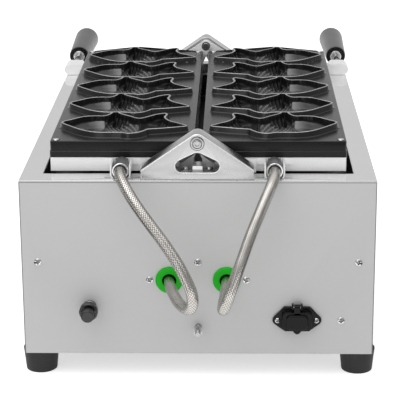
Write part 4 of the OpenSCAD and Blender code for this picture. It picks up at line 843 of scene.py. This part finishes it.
def build_sky():
    """White to the eye, even light for the surfaces, and in reflections bright ahead and above and dim elsewhere."""
    s = settings().stage
    world = bpy.data.worlds.new("even_sky")
    bpy.context.scene.world = world
    world.use_nodes = True
    tree = world.node_tree
    tree.nodes.clear()
    path = add(tree, "LightPath").outputs
    ahead = split(tree, coordinates(tree, "Generated"))
    front = spread(tree, ahead[1], 0.0, s.card_tone, (0.45, 0.75))
    above = spread(tree, ahead[2], 0.0, 0.85, (0.5, 0.8))
    low = spread(tree, ahead[2], 1.0, 0.0, (0.06, 0.2))
    glow = maths(tree, "MULTIPLY_ADD", front, low, maths(tree, "MAXIMUM", front, above))
    glow = maths(tree, "ADD", glow, s.sky_dim)
    glow = mixed(tree, maths(tree, "MINIMUM", path["Diffuse Depth"], 1.0), glow, 1.2)
    mirrored = mixed(tree, path["Is Glossy Ray"], s.sky, glow)
    seen = maths(tree, "MAXIMUM", path["Is Camera Ray"], path["Is Transmission Ray"])
    sky = add(tree, "Background", {"Color": (1, 1, 1, 1), "Strength": mixed(tree, seen, mirrored, 1.0)})
    add(tree, "OutputWorld", {"Surface": sky.outputs[0]})


def build_stage():
    """Floor, sky, one large soft lamp above, a weaker one behind the eye and a dark card at either side."""
    s = settings().stage
    build_floor()
    build_sky()
    lamp("key_above", (-0.5, -0.75, 1.9), 1.6, s.key_power)
    lamp("fill_behind", (-0.9, -2.4, 1.1), 1.4, s.fill_power)
    flag("left_flag", -620)
    flag("right_flag", 620)
    bpy.context.scene.view_settings.view_transform = "Standard"


# ---------------------------------------------------------------------------------------------- conduits

def route_uv(mesh, reach, sides):
    """The tube's UV: once round from 0 to 1, and along in metres. A face that closes the ring ends at 1."""
    loops, polygons = len(mesh.loops), len(mesh.polygons)
    index, starts, totals = np.empty(loops, int), np.empty(polygons, int), np.empty(polygons, int)
    mesh.loops.foreach_get("vertex_index", index)
    mesh.polygons.foreach_get("loop_start", starts)
    mesh.polygons.foreach_get("loop_total", totals)
    around = (index % sides) / sides
    owner = np.repeat(np.arange(polygons), totals)
    top = np.zeros(polygons)
    np.maximum.at(top, owner, around)
    around = np.where((top[owner] > 0.9) & (around < 0.1), 1.0, around)
    uv = np.stack([around, reach[np.minimum(index // sides, len(reach) - 1)]], 1)
    mesh.uv_layers.new(name="route").data.foreach_set("uv", uv.ravel().astype(np.float32))


def build_conduits():
    """A smooth tube along each route, bending from casing to plate."""
    s = settings().conduit
    for side, route in ROUTES.items():
        line = smooth_route([[x, REAR - out, FOOT + h] for x, out, h in route], 8)
        obj = make(side + "_conduit_braid", *tube(line, s.radius / MM - 0.03, s.sides), 50)
        reach = np.concatenate([[0], np.cumsum(np.linalg.norm(np.diff(line, axis=0), axis=1))]) * MM
        route_uv(obj.data, reach, s.sides)
        obj.data.materials.append(braid())
        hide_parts(side + "_conduit")
        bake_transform(obj)


# ---------------------------------------------------------------------------------------------- mould plates

def fish_outline(steps=10):
    """The fish's closed outline in millimetres, a Catmull-Rom curve through its points."""
    four = (np.roll(FISH, shift, axis=0)[:, None, :] for shift in (1, 0, -1, -2))
    return catmull(*four, (np.arange(steps) / steps)[None, :, None]).reshape(-1, 2) * FISH_SIZE


def fish_scales(u, v, pitch):
    """Lines of blunt half rhombs that point towards the tail, higher on the back's side, each row moved by half a
    scale."""
    first, row_step = 27.0, 0.3 * pitch
    row = np.floor((u - first) / row_step)
    best = np.zeros_like(u)
    for step in (-2, -1, 0):
        centre_u = first + (row + step) * row_step
        shift = np.mod(row + step, 2) * 0.5
        centre_v = (np.round(v / pitch - shift) + shift) * pitch
        r = ((np.abs(u - centre_u) * 1.2) ** 1.25 + np.abs(v - centre_v) ** 1.25) ** 0.8
        line = np.exp(-((r - 0.5 * pitch) / 0.6) ** 2) * (u >= centre_u - 0.2)
        # Higher on the back's side: more relief there, and in the wear with painted light a glint on the scales' upper
        # halves
        best = np.maximum(best, line * (0.15 + 0.85 * ease(v - centre_v, -0.6, 0.4)))
    return best


def ribs(phase):
    """Parallel ribs, one to each turn of the phase."""
    return 0.5 + 0.5 * np.cos(phase)


def cavity_height(u, v, inner):
    """Height below the land, and wear with painted light: a drafted wall, then a round body; on it raised lines for
    gill, scales, fin and tail. The second is above 0 where cakes rub those lines and a painted highlight makes them
    glint, and below 0 where painted shade takes the gleam away: on the wall, in the fin and in the tail's upper half.
    u runs from mouth to tail, v across, inner is the distance from the rim."""
    s = settings().mould
    turn, free, body = 2 * math.pi, ease(inner, 0.8, 2.0), np.clip((inner - 0.3) / 15.0, 0, 1)
    depth = CAVITY_WALL * ease(inner, -0.05, 1.5)
    depth = depth + (s.depth / MM - CAVITY_WALL) * np.sin(0.5 * math.pi * body) ** 0.85
    cheek = np.hypot(u - 4.0, (v - 18.0) * 1.1) + 8.4
    scales = fish_scales(u, v, s.scale_pitch / MM) * ease(cheek, 49.0, 50.5) * fall(u, 78, 80)
    scales = scales * ease(inner, 1.5, 3.2) * fall(v, 20, 24)
    head = 3.4 * ease(u, 8, 38) * fall(cheek, 47.5, 48.4) * ease(inner, 0.5, 3.5)
    mouth = np.exp(-((v + 0.28 * u - 1.0) / 0.8) ** 2) * ease(u, 1.5, 3) * fall(u, 9, 11)
    eye_r = np.hypot(u - 20.0, v - 7.5)
    eye = 1.1 * np.exp(-((eye_r - 3.6) / 0.8) ** 2) + 0.8 * fall(eye_r, 0.8, 1.9)
    fin = ribs(turn * (u * 0.96 - v * 0.28) / 5.2) ** 2 * ease(v, 21, 25) * ease(u, 41, 43) * fall(u, 84, 88)
    fin = fin * ease(inner, 0.2, 1.2)
    tail = ribs(np.arctan2(v - 3.0, u - 66.0) * 34.0) * ease(u, 88, 93) * free
    rib = 1.8 * np.exp(-((u - 81.5) / 1.0) ** 2) * free
    lower_fin = ribs(turn * (u + v * 0.5) / 3.4) * fall(v, -38, -35) * free
    gill = ease(cheek, 26, 48) ** 2 * fall(cheek, 48.0, 48.8) * ease(inner, 1.0, 3.5) * ease(v, -4, 18)
    serration = 0.8 * fin * fall(v, 23.2, 25.2)
    # Rubbed lines that also carry a painted glint: lighter in the coating's colour
    polish = np.clip(1.25 * scales + serration + 0.4 * tail + 0.5 * eye + 0.5 * mouth + 0.7 * gill, 0, 1)
    # Painted shade: no gleam on the wall under the rim, in the fin's pocket and in the tail's upper half
    pocket_shade = np.maximum(fall(inner, 1.5, 3.5), ease(v, 18, 21) * ease(u, 41, 43))
    pocket_shade = np.maximum(pocket_shade, ease(u, 80, 84) * ease(v, 2, 8))
    lines = scales + 0.5 * mouth + 0.6 * eye + 1.3 * fin + 0.9 * tail + rib + 0.8 * lower_fin
    return -depth + head + s.relief / MM * lines, polish - pocket_shade * (1 - polish)


def cavity_mesh(line):
    """One fish's hollow as points and triangles, from the land's inner edge down."""
    mouth = away(line, -1.0)
    step = settings().mould.mesh_step / MM * 1.0
    (x0, y0), (x1, y1) = line.min(0), line.max(0)
    gx, gy = np.meshgrid(np.arange(x0, x1, step), np.arange(y0, y1, step * 0.9))
    gx = gx + (np.arange(len(gy)) % 2)[:, None] * step * 0.5
    grid = np.stack([gx.ravel(), gy.ravel()], 1)
    grid = grid[distance_inside(grid, mouth) > step * 0.75]
    flat, faces = triangles([(mouth, True), (grid, False)], lambda c: distance_inside(c, mouth) > 0)
    inner = np.maximum(distance_inside(flat, mouth), 0)
    height, polish = cavity_height(flat[:, 0], flat[:, 1], inner)
    return flat, faces, np.where(inner < 1e-3, 0.0, height), polish, mouth


def corners(node):
    """The middles of the four corner screws of a plate, seen from above."""
    low, high = low_high(node)
    return [np.array([x, y]) for x in (low[0] + CORNER_SCREW, high[0] - CORNER_SCREW)
        for y in (low[1] + CORNER_SCREW, high[1] - CORNER_SCREW)]


def plate_top(line, mouth, places, screws, bores, low, high):
    """The top face with its rims, open over the hollows and the screws' bores, and its outer edge. A rim stands by
    the distance from the fish's outline: a land, and a drafted wall with a small fillet at its foot."""
    edge = rounded_rectangle(low + 0.5, high - 0.5, 1.5)
    rings = [(edge, True)]
    for at in places:
        rings.append((mouth + at, True))
        for out in RIM_OUT[1:]:
            ring = (away(line, out) + at)[::1 if out < 2 else 2]
            keep = ((ring > low + 0.6) & (ring < high - 0.6)).all(1)
            rings.append((ring[keep], keep.all() and out < 3))
    rings += [(bore, True) for bore in bores]
    x, y = np.meshgrid(np.arange(low[0] + 3, high[0] - 2, 7.0), np.arange(low[1] + 3, high[1] - 2, 7.0))
    rings.append((np.stack([x.ravel(), y.ravel()], 1), False))

    def on_face(c):
        good = between(c, edge, [mouth + at for at in places])
        for at in screws:
            good &= np.linalg.norm(c - at, axis=1) > BORE - 0.01
        return good

    top, faces = triangles(rings, on_face)
    outside = np.full(len(top), 99.0)
    for at in places:
        near = np.abs(top[:, 1] - at[1]) < 60
        outside[near] = np.minimum(outside[near], np.maximum(-distance_inside(top[near] - at, line), -1.0))
        # A small pad on the rim where the next fish's belly comes close
        dx, dy = (top - at - (53.5, 44.3)).T
        pad = np.hypot(np.maximum(np.abs(dx) - 2.0, 0), dy) - 2.0
        outside = np.minimum(outside, np.maximum(pad, -0.5))
    return np.column_stack([top, LAND + np.interp(outside, RIM_OUT, RIM_HEIGHT)]), faces, edge


def plate_mesh():
    """A left plate as one closed mesh: top face with rims, five hollows, walls down to the underside and counterbores
    that are closed at their floor."""
    line = fish_outline()
    flat, faces, height, polish, mouth = cavity_mesh(line)
    places = [np.array([FISH_MOUTH, (PLATE_LOW[1] + PLATE_HIGH[1]) / 2 + (i - 2) * FISH_PITCH + 0.028 * FISH_SIZE])
        for i in range(5)]
    low, high = PLATE_LOW[:2] + 0.7, PLATE_HIGH[:2] - 0.7
    screws, n = corners("left_mould_plate"), 32
    a = circle(n)
    bores = [at + BORE * np.stack([np.cos(a), np.sin(a)], 1) for at in screws]
    top, top_faces, edge = plate_top(line, mouth, places, screws, bores, low, high)
    parts = [(top, [tuple(f) for f in top_faces])]
    parts += [(np.column_stack([flat + at, LAND - 0.3 + height]), [tuple(f) for f in faces]) for at in places]
    bottom, step = PLATE_LOW[2], PLATE_LOW[2] + PLATE_THICK * 0.38
    rings = []
    for out, z in ((0.5, PLATE_TOP), (0.15, PLATE_TOP - 0.15), (0.0, PLATE_TOP - 0.5), (0.0, step + 0.2), (-0.5, step),
            (-0.7, step - 0.2), (-0.7, bottom + 0.3), (-0.4, bottom)):
        p = rounded_rectangle(low + out, high - out, 2.0 - min(out, 1.5))
        rings.append(np.column_stack([p, np.full(len(p), z)]))
    m = len(edge)
    side = [(b, a, d, c) for a, b, c, d in strip(len(rings), m)]
    parts.append((np.vstack(rings), side + [tuple(reversed(range((len(rings) - 1) * m, len(rings) * m)))]))
    for at, bore in zip(screws, bores):
        levels = [np.column_stack([bore, np.full(n, z)]) for z in (PLATE_TOP, PLATE_TOP - 3.0)]
        parts.append((np.vstack(levels + [[[*at, PLATE_TOP - 3.0]]]), strip(2, n) + fan(2 * n, n, n)))
    points, all_faces = joined(parts, closed=False)
    shine = np.concatenate([np.zeros(len(top))] + [polish] * len(places))
    return points, all_faces, np.pad(shine, (0, len(points) - len(shine)))


def build_moulds():
    """Both plates from one mesh, the right one mirrored with its faces turned over."""
    points, faces, shine = plate_mesh()
    sharp = 38
    for side, mirror, side_faces in (("left", 1, faces), ("right", -1, over(faces))):
        obj = make(side + "_plate_coated", points * (mirror, 1, 1), side_faces, sharp, closed=False)
        layer = obj.data.attributes.new("polish", "FLOAT", "POINT")
        layer.data.foreach_set("value", shine.astype(np.float32))
        reworked(obj.data, sharp, 2e-6)
        place(obj, side + "_mould", nonstick(), [side + "_mould_plate"])
        second_finish(obj, "coated_side", lambda c, n: (c[:, 2] < PLATE_TOP - 0.3) & (np.abs(n[:, 2]) < 0.3)
            & (np.abs(n[:, :2]).max(1) > 0.99))
        # The rims' lands, lighter: partly wear, partly a painted highlight
        second_finish(obj, "worn_land", lambda c, n: (c[:, 2] > LAND - 0.34) & (n[:, 2] > 0.75))


# ---------------------------------------------------------------------------------------------- casing and hinge

def build_casing():
    """Sheet panels, deck, tray, base and brace with rounded edges; the tray, base and brace near black as painted
    shade.
    """
    edge = settings().metal.edge / MM
    for side in SIDES:
        dressed(side + "_side_panel", "casing_sheet", edge)
    for node in ("rear_panel", "control_panel"):
        dressed(node, panel_sheet(), edge)
    deck = dressed("deck", "bright_sheet", edge, cut=5)
    second_finish(deck, "casing_sheet", lambda c, n: np.abs(n[:, 2]) < 0.7)
    # Painted shade: the well tray, base plate and brace get a near black sheet for the shade they lie in
    for node, share in (("well_tray", 1), ("base_plate", 0.7), ("rear_brace", 0.7)):
        dressed(node, "tray_sheet", edge * share, 1)


def end_face(end):
    """The depth of the face that a pedestal turns outward and the way it looks: the rear one to -Y."""
    low, high = low_high(end + "_pedestal")
    return (low[1], -1) if end == "rear" else (high[1], 1)


def pivot_pin(end):
    """A pin with a flanged head, a groove, a domed cap and a hexagonal socket, and a clip near its tip."""
    low, high = low_high(end + "_pivot_pin")
    face, out = end_face(end)
    tip = high[1] if end == "rear" else low[1]
    reach = abs(tip - face)
    pin = turned([(0, -reach), (3.6, -reach), (4.0, -reach + 0.4)] + PIN_HEAD, (0, face, PIVOT), (0, out, 0), 64)
    clip = turned(PIN_CLIP, (0, tip + (1.08 if out > 0 else -1.88), PIVOT), sides=40, ring=True)
    obj = make(end + "_pin_turned", *joined([pin, clip]), 30)
    place(obj, "base", "turned_steel", [end + "_pivot_pin"])

    # The groove under the head's rim and the socket's wall get a darker metal: painted shade in these recesses
    def grooves(c, n):
        r, above = np.hypot(c[:, 0], c[:, 2] - PIVOT), (c[:, 1] - face) * out
        return (above > 0.2) & (above < 2.7) & (((r > 4.2) & (r < 5.05)) | ((r > 1.8) & (r < 2.45)))

    second_finish(obj, "dark_metal", grooves)


def three_rounds(corner, top):
    """The outline about two equal low circles at either side and one above: each is given as x, z and radius.
    The line that touches a low and the upper circle has the normal's angle phi + acos((r2 - r1) / distance)."""
    (x1, z1, r1), (x2, z2, r2) = corner, top
    phi = math.atan2(z1 - z2, x1 - x2)
    turn = math.degrees(phi + math.acos((r2 - r1) / math.hypot(x1 - x2, z1 - z2)))
    return np.vstack([arc(x1, z1, r1, -90, turn, 14), arc(x2, z2, r2, turn, 180 - turn, 20),
        arc(-x1, z1, r1, 180 - turn, 270, 14)])


def quarter(line, r, way):
    """Outlines and depths of a quarter round from a face back to a line: way is -1 outside it and 1 in a hole."""
    return [(away(line, way * (r - r * math.sin(a))), r - r * math.cos(a)) for a in np.radians(22.5 * np.arange(5))]


def pedestal(end):
    """A cast bridge: a face with rounded edges, a sloping window and a spot face for the pin's head, and behind it a
    shell open to the plates with a boss round the pin and a rib below it. The slopes touch the circle at the apex."""
    half, foot, deep, skin, wall, apex, soft, lip, sunk = 57.3, 10.4, 23.0, 6.0, 4.0, 9.6, 1.3, 1.0, 0.7
    rise = PIVOT - DECK
    lean = math.degrees(math.atan2(foot - rise, half) + math.acos(apex / math.hypot(half, foot - rise)))
    outline = np.vstack([arc(half - 1.5, 1.5, 1.5, -90, 0, 4), arc(half - 1.6, foot - 1.0, 1.6, 0, lean, 5),
        arc(0, rise, apex, lean, 180 - lean, 24), arc(1.6 - half, foot - 1.0, 1.6, 180 - lean, 180, 5),
        arc(1.5 - half, 1.5, 1.5, 180, 270, 4)])
    front_window = three_rounds((15.6, 14.3, 6.5), (0, 19.2, 9.0))
    back_window = three_rounds((13.2, 13.1, 4.1), (0, 19.2, 6.6))
    # The shell's slope runs at the wall's thickness inside the outline's, from where it meets the boss to its corner
    n = np.array([math.cos(math.radians(lean)), math.sin(math.radians(lean))])
    along = np.array([n[1], -n[0]])
    meets = (apex - wall) * n + math.sqrt(apex ** 2 - (apex - wall) ** 2) * along
    start = math.degrees(math.atan2(meets[1], meets[0]))
    x, z = meets + (half - wall - meets[0]) / along[0] * along + (0, rise)
    hollow = np.vstack([[(half - wall, 6), (x, z)], arc(0, rise, apex, start, -180 - start, 24),
        [(-x, z), (wall - half, 6)]])
    bore, spot = arc(0, rise, 4.05, 0, 360, 32)[:-1], arc(0, rise, 7.5, 0, 360, 48)[:-1]
    rib = rounded_rectangle((-5.0, 5.5), (5.0, 13.0), 0.6, 3)

    edge, brim, inner = quarter(outline, soft, -1), quarter(front_window, lip, 1), away(outline, -0.4)
    parts = [web(edge[0][0], [brim[0][0], spot], 0.0), walls(edge + [(outline, deep - 0.4), (inner, deep)]),
        walls(brim + [(back_window, skin)]), walls([(spot, 0.0), (spot, sunk)]), web(spot, [bore], sunk),
        walls([(bore, sunk), (bore, deep)]), web(inner, [hollow, bore], deep), walls([(hollow, deep), (hollow, skin)]),
        web(hollow, [back_window], skin), web(rib, [], skin + 0.05), walls([(rib, skin + 0.05), (rib, deep - 0.2)]),
        web(rib, [], deep - 0.2)]
    points, faces = joined(parts, closed=False)
    face, out = end_face(end)
    points = np.column_stack([points[:, 0], face - out * points[:, 1], DECK + points[:, 2]])
    obj = make(end + "_pedestal_cast", points, faces, 32, closed=False)
    reworked(obj.data, 32, 4e-6, lambda work: bmesh.ops.recalc_face_normals(work, faces=work.faces))
    place(obj, "base", "cast_metal", [end + "_pedestal"])

    def edges(c, q):
        back, faced = (face - c[:, 1]) * out, q[:, 1] * out
        return (back > -0.1) & (back < soft) & (faced > 0.2) & (faced < 0.985) & (c[:, 2] > DECK + 2.0)

    # The spot face's sunk wall round the pin's head gets a darker metal: painted shade in the gap there
    def spot_face(c, q):
        back = (face - c[:, 1]) * out
        return (back > 0.3) & (back < 0.9) & (np.hypot(c[:, 0], c[:, 2] - PIVOT) < 8.1)

    # Painted highlight: the rounded edges round the face and its window get a bright finish
    second_finish(obj, "burnished_edge", edges)
    second_finish(obj, "dark_metal", spot_face)


def build_hinge():
    """Pedestals, pins, bolts, arms and bushes."""
    for end in ENDS:
        pedestal(end)
        pivot_pin(end)
    dressed("pedestal_bolts", "bright_zinc", 0.35)
    for side in SIDES:
        dressed(side + "_hinge_arms", "pan_sheet", 0.5)
        dressed(side + "_bushes", "bush_bronze", 0.15, 1)


# ---------------------------------------------------------------------------------------------- on the plates

def build_plates_hardware():
    """Heater housings, screws, elements and boards of each plate."""
    for side in SIDES:
        dressed(side + "_heater_housing", "pan_sheet", 0.5)
        dressed(side + "_screws", "bright_zinc", 0.25)
        caps = [turned(CORNER_HEAD, (*at, PLATE_TOP), ALONG_Z, 32) for at in corners(side + "_mould_plate")]
        place(make(side + "_corner_heads", *joined(caps), 30), side + "_mould", "bright_zinc")
        dressed(side + "_heating_element", "heat_tinted_sheath", 0)
        dressed(side + "_insulation", "pressed_board", 0.4, 1)


def build_handles():
    """Brackets, rods and tapered grips, whose near ends are darker."""
    for side in SIDES:
        dressed(side + "_handle_bracket", "pan_sheet", 0.8, 3)
        dressed(side + "_handle_rod", "bright_zinc", 0.4)
        grip = dressed(side + "_grip", "grip_plastic", 0.4, sharp=40)
        near = low_high(side + "_grip")[0][1]
        second_finish(grip, "black_plastic", lambda c, n: (n[:, 1] < -0.8) & (c[:, 1] < near + 1))


def build_glands():
    """Glands with a bright collar in their U-shaped guards."""
    for side in SIDES:
        gland = dressed(side + "_gland", "rough_casting", 0.2)
        second_finish(gland, "pan_sheet", lambda c, n: c[:, 1] > PLATE_LOW[1] - 0.6)
        dressed(side + "_gland_guard", "pan_sheet", 0.4)
        low, high = low_high(side + "_gland")
        collar = turned(COLLAR, ((low[0] + high[0]) / 2, low[1] - 0.1, DECK + 8.4), ring=True)
        place(make(side + "_gland_collar", *collar, 30), side + "_mould", "bright_zinc")


# ---------------------------------------------------------------------------------------------- rear and front panel

def inlet_cover():
    """The inlet's flap: a lid with cut corners and a round tab, a soft raised pad on it and a strap to its knuckle."""
    x, z = INLET
    pad = rounded_rectangle((x - 11.2, z - 7.4), (x + 11.2, z + 8.8), 4.6, 8)
    strap = rounded_rectangle((x - 3.4, z + 8.0), (x + 3.4, z + 17.0), 0.6, 2)
    parts = [plaque(LID + INLET, REAR - 7.3, REAR - 10.1, 0.7), plaque(pad, REAR - 10.0, REAR - 12.7, 1.6, 5),
        plaque(strap, REAR - 7.4, REAR - 10.1, 0.5),
        turned(KNUCKLE, (x - 3.4, REAR - 7.2, z + 15.8), (1, 0, 0), 40, ring=True)]
    place(make("inlet_flap", *joined(parts), 40), "cover", "black_plastic", ["inlet_cover"])


def cross_screws(name, node, screws):
    """Screws with a cross head in front of the panel and a nut behind it, in one piece. Each is given as x, z, the
    seat of its head and its height, the head's radius and turn, the shaft's end and the nut's depth and thickness."""
    parts = []
    for x, z, seat, h, r, turn, end, nut, thick in screws:
        parts += [cross_head(x, seat, z, r, h, turn), shaft(x, z, 2, seat, REAR + end),
            hex_nut(x, z, 4, REAR + nut, REAR + nut + thick)]
    heads = place(make(name, *joined(parts), 30), "base", "bright_zinc", [node])
    # Painted shade: the faces in each cross recess get a darker metal
    second_finish(heads, "dark_metal", recesses([(s[0], s[1], s[4], s[5]) for s in screws]))


def reset_button():
    """A threaded neck through the panel with its body inside and a blind bore for the stem, its ring and its cap."""
    x, z = RESET
    profile = [(0, 13.2), (4.3, 13.2), (4.3, 0), (6.2, 0)]
    for t in 1.5 * np.arange(6):
        profile += [(6.2, 0.5 + t), (7.0, 1.1 + t), (7.0, 1.3 + t), (6.2, 1.9 + t)]
    profile += [(6.2, 9.95), (5.8, 9.95), (5.8, 11.25), (11, 11.25), (11, 37.2), (0, 37.2)]
    neck = turned(profile, (x, REAR - 10, z))
    place(make("reset_neck", *neck, 30), "base", "dark_metal", ["reset_body"])
    ring = turned(RESET_RING, (x, REAR - 18, z), ring=True)
    place(make("reset_ring", *ring, 30), "base", "gloss_black")
    low, high = low_high("reset_button")
    reach = high[1] - low[1]
    cap = turned([(0, 0), (5.3, 0), (6.1, 0.25), (6.6, 0.9), (6.6, 12.0), (4.0, 12.0), (4.0, reach), (0, reach)],
        (x, low[1], z))
    place(make("reset_cap", *cap, 34), "reset", "gloss_black", ["reset_button"])


def earth_stud():
    """A threaded stud with three nuts and two washers outside the panel and a nut behind it."""
    z = FOOT + STUD_HEIGHT
    rod = threaded(0, z, 2.9, REAR - 23.4, REAR + 11.0, 1.2, 0.55)
    place(make("earth_stud_threaded", *rod, 30), "base", "turned_steel", ["earth_stud"])
    parts = [hex_nut(0, z, r, REAR - at - thick, REAR - at)
        for at, r, thick in ((0.02, 4.0, 3.38), (-4.6, 5.0, 3.4), (9.6, 4.7, 3.2), (14.6, 4.5, 3.0))]
    parts += [turned([(2.4, 0), (r, 0), (r, 0.9), (2.4, 0.9)], (0, REAR - at - 0.9, z), sides=40, ring=True)
        for at, r in ((8.6, 4.4), (13.6, 4.9))]
    place(make("earth_stud_nuts", *joined(parts), 30), "base", "turned_steel")


def build_rear_fittings():
    """Inlet with its cover, reset button, earth stud, grommets and panel screws."""
    dressed("inlet_socket", "black_plastic", 0.5)
    inlet_cover()
    dressed("inlet_blades", "bright_zinc")
    x, z = INLET
    cross_screws("inlet_cross_screws", "inlet_screws",
        [(x + way * 20, z, REAR - 3.0, 2.0, 2.8, turn, 5.2, 1.2, 3) for way, turn in ((-1, 20), (1, -25))])
    dressed("cover_pin", "bright_zinc", 0.2, 1)
    reset_button()
    earth_stud()
    out, height = GROMMET_AT
    for side, x in zip(SIDES, (-out, out)):
        ring = turned(GROMMET, (x, REAR - 3.4, FOOT + height), sides=64, ring=True)
        grommet = place(make(side + "_grommet", *ring, 34), "base", "green_rubber",
            ["grommets"] if side == "left" else ())
        # Painted shade: the grommet's bore round the conduit is given black
        second_finish(grommet, "black_plastic", lambda c, n: np.hypot(c[:, 0] - x, c[:, 2] - FOOT - height) < 7.2)
    cross_screws("panel_cross_screws", "panel_screws",
        [(x, FOOT + h, REAR, 2.2, 3.9, turn, 6.8, 1.2 if h < 50 else 2.8, 3) for x, h, turn in PANEL_SCREWS])


def stroke(cx, cz, angle, r0, r1, half, y, thick):
    """A thin printed bar on a ray from (cx, cz), its angle counted from the top towards +X."""
    a = math.radians(angle)
    d, p, c = np.array([math.sin(a), math.cos(a)]), np.array([math.cos(a), -math.sin(a)]), np.array([cx, cz])
    outline = np.array([c + r * d + s * half * p for r, s in ((r0, -1), (r0, 1), (r1, 1), (r1, -1))])
    return plaque(outline, y, y + thick, 0.03, 2)


def dial(name, body, turn):
    """A scale of eleven printed bars over the knob's turn, and a pointer on the knob that rests at its first bar."""
    low, high = low_high(name + "_knob")
    cx, cz, panel = 0.5 * (low[0] + high[0]), 0.5 * (low[2] + high[2]), low_high("control_panel")[1][1]
    gap, bars = 0.02, 11
    scale = []
    for k in range(bars):
        reach, half = (29.6, 0.6) if k in (0, bars - 1) else (28.0, 0.4)
        scale.append(stroke(cx, cz, turn * (k / (bars - 1) - 0.5), 24.4, reach, half, panel + gap, 0.1))
    place(make(name + "_scale", *joined(scale), 30), "base", "dial_print")
    pointer = stroke(cx, cz, -0.5 * turn, 7.0, 16.5, 0.9, high[1] + gap, 0.12)
    place(make(name + "_pointer", *pointer, 30), body, "pointer_print")


def build_controls():
    """Knobs, switch, lamps and the bodies behind them."""
    dial("thermostat", "thermostat_dial", 270)
    dial("timer", "timer_dial", 300)
    for node in ("thermostat", "timer"):
        dressed(node, "control_body", 0.4)
        dressed(node + "_knob", "black_plastic", 0.5)
    dressed("switch_frame", "black_plastic", 0.4)
    dressed("switch_rocker", "red_plastic", 0.4)
    dressed("pilot_lamps", "amber_lens", 0.4)
    dressed("terminal_block", "glazed_porcelain", 0.5)


def build_feet():
    """Four rubber feet with their screws."""
    dressed("feet", "foot_rubber", 0.8, 3)
    dressed("foot_screws", "bright_zinc")


# ---------------------------------------------------------------------------------------------- operators

class FISHCAKE_OT_stage(bpy.types.Operator):
    """Adds the camera, the floor, the sky and the lamps"""
    bl_idname = "fishcake.stage"
    bl_label = "Camera and Stage"

    def execute(self, context):
        build_camera()
        build_stage()
        return {"FINISHED"}


class FISHCAKE_OT_conduits(bpy.types.Operator):
    """Adds the two braided conduits"""
    bl_idname = "fishcake.conduits"
    bl_label = "Conduits"

    def execute(self, context):
        build_conduits()
        return {"FINISHED"}


class FISHCAKE_OT_moulds(bpy.types.Operator):
    """Adds the two coated mould plates with their fish"""
    bl_idname = "fishcake.moulds"
    bl_label = "Mould Plates"

    def execute(self, context):
        build_moulds()
        return {"FINISHED"}


class FISHCAKE_OT_plate_hardware(bpy.types.Operator):
    """Adds the heater housings and what they hold"""
    bl_idname = "fishcake.plate_hardware"
    bl_label = "Heater Housings"

    def execute(self, context):
        build_plates_hardware()
        return {"FINISHED"}


class FISHCAKE_OT_casing(bpy.types.Operator):
    """Adds the sheet-metal casing"""
    bl_idname = "fishcake.casing"
    bl_label = "Casing"

    def execute(self, context):
        build_casing()
        return {"FINISHED"}


class FISHCAKE_OT_hinge(bpy.types.Operator):
    """Adds the pedestals, pins and arms of the long hinge"""
    bl_idname = "fishcake.hinge"
    bl_label = "Hinge"

    def execute(self, context):
        build_hinge()
        return {"FINISHED"}


class FISHCAKE_OT_handles(bpy.types.Operator):
    """Adds the brackets, rods and grips"""
    bl_idname = "fishcake.handles"
    bl_label = "Handles"

    def execute(self, context):
        build_handles()
        return {"FINISHED"}


class FISHCAKE_OT_glands(bpy.types.Operator):
    """Adds the cable glands and their guards"""
    bl_idname = "fishcake.glands"
    bl_label = "Glands"

    def execute(self, context):
        build_glands()
        return {"FINISHED"}


class FISHCAKE_OT_rear_fittings(bpy.types.Operator):
    """Adds the inlet, reset button, earth stud, grommets and screws"""
    bl_idname = "fishcake.rear_fittings"
    bl_label = "Rear Fittings"

    def execute(self, context):
        build_rear_fittings()
        return {"FINISHED"}


class FISHCAKE_OT_controls(bpy.types.Operator):
    """Adds the knobs, switch and lamps of the control panel"""
    bl_idname = "fishcake.controls"
    bl_label = "Controls"

    def execute(self, context):
        build_controls()
        return {"FINISHED"}


class FISHCAKE_OT_feet(bpy.types.Operator):
    """Adds the four rubber feet"""
    bl_idname = "fishcake.feet"
    bl_label = "Feet"

    def execute(self, context):
        build_feet()
        return {"FINISHED"}


OPERATORS = (FISHCAKE_OT_stage, FISHCAKE_OT_conduits, FISHCAKE_OT_moulds, FISHCAKE_OT_plate_hardware,
    FISHCAKE_OT_casing, FISHCAKE_OT_hinge, FISHCAKE_OT_handles, FISHCAKE_OT_glands, FISHCAKE_OT_rear_fittings,
    FISHCAKE_OT_controls, FISHCAKE_OT_feet)


class FISHCAKE_PT_machine(bpy.types.Panel):
    """Lists the machine's settings and pieces"""
    bl_idname = "FISHCAKE_PT_machine"
    bl_label = "Fish-Cake Machine"
    bl_space_type = "VIEW_3D"
    bl_region_type = "UI"
    bl_category = "Fish-Cake Machine"

    def draw(self, context):
        all_settings = context.scene.fish_cake_machine
        for group_name in ("stage", "conduit", "mould", "metal", "plastic"):
            group = getattr(all_settings, group_name)
            box = self.layout.box()
            box.label(text=group_name.title())
            for key in group.__annotations__:
                box.prop(group, key)
        for operator in OPERATORS:
            self.layout.operator(operator.bl_idname)


CLASSES = (StageSettings, ConduitSettings, MouldSettings, MetalSettings, PlasticSettings, MachineSettings) \
    + OPERATORS + (FISHCAKE_PT_machine,)


def register():
    for item in CLASSES:
        bpy.utils.register_class(item)
    bpy.types.Scene.fish_cake_machine = PointerProperty(type=MachineSettings)


def unregister():
    del bpy.types.Scene.fish_cake_machine
    for item in reversed(CLASSES):
        bpy.utils.unregister_class(item)


def main():
    register()
    for operator in OPERATORS:
        group, name = operator.bl_idname.split(".")
        getattr(getattr(bpy.ops, group), name)()


if __name__ == "__main__":
    main()
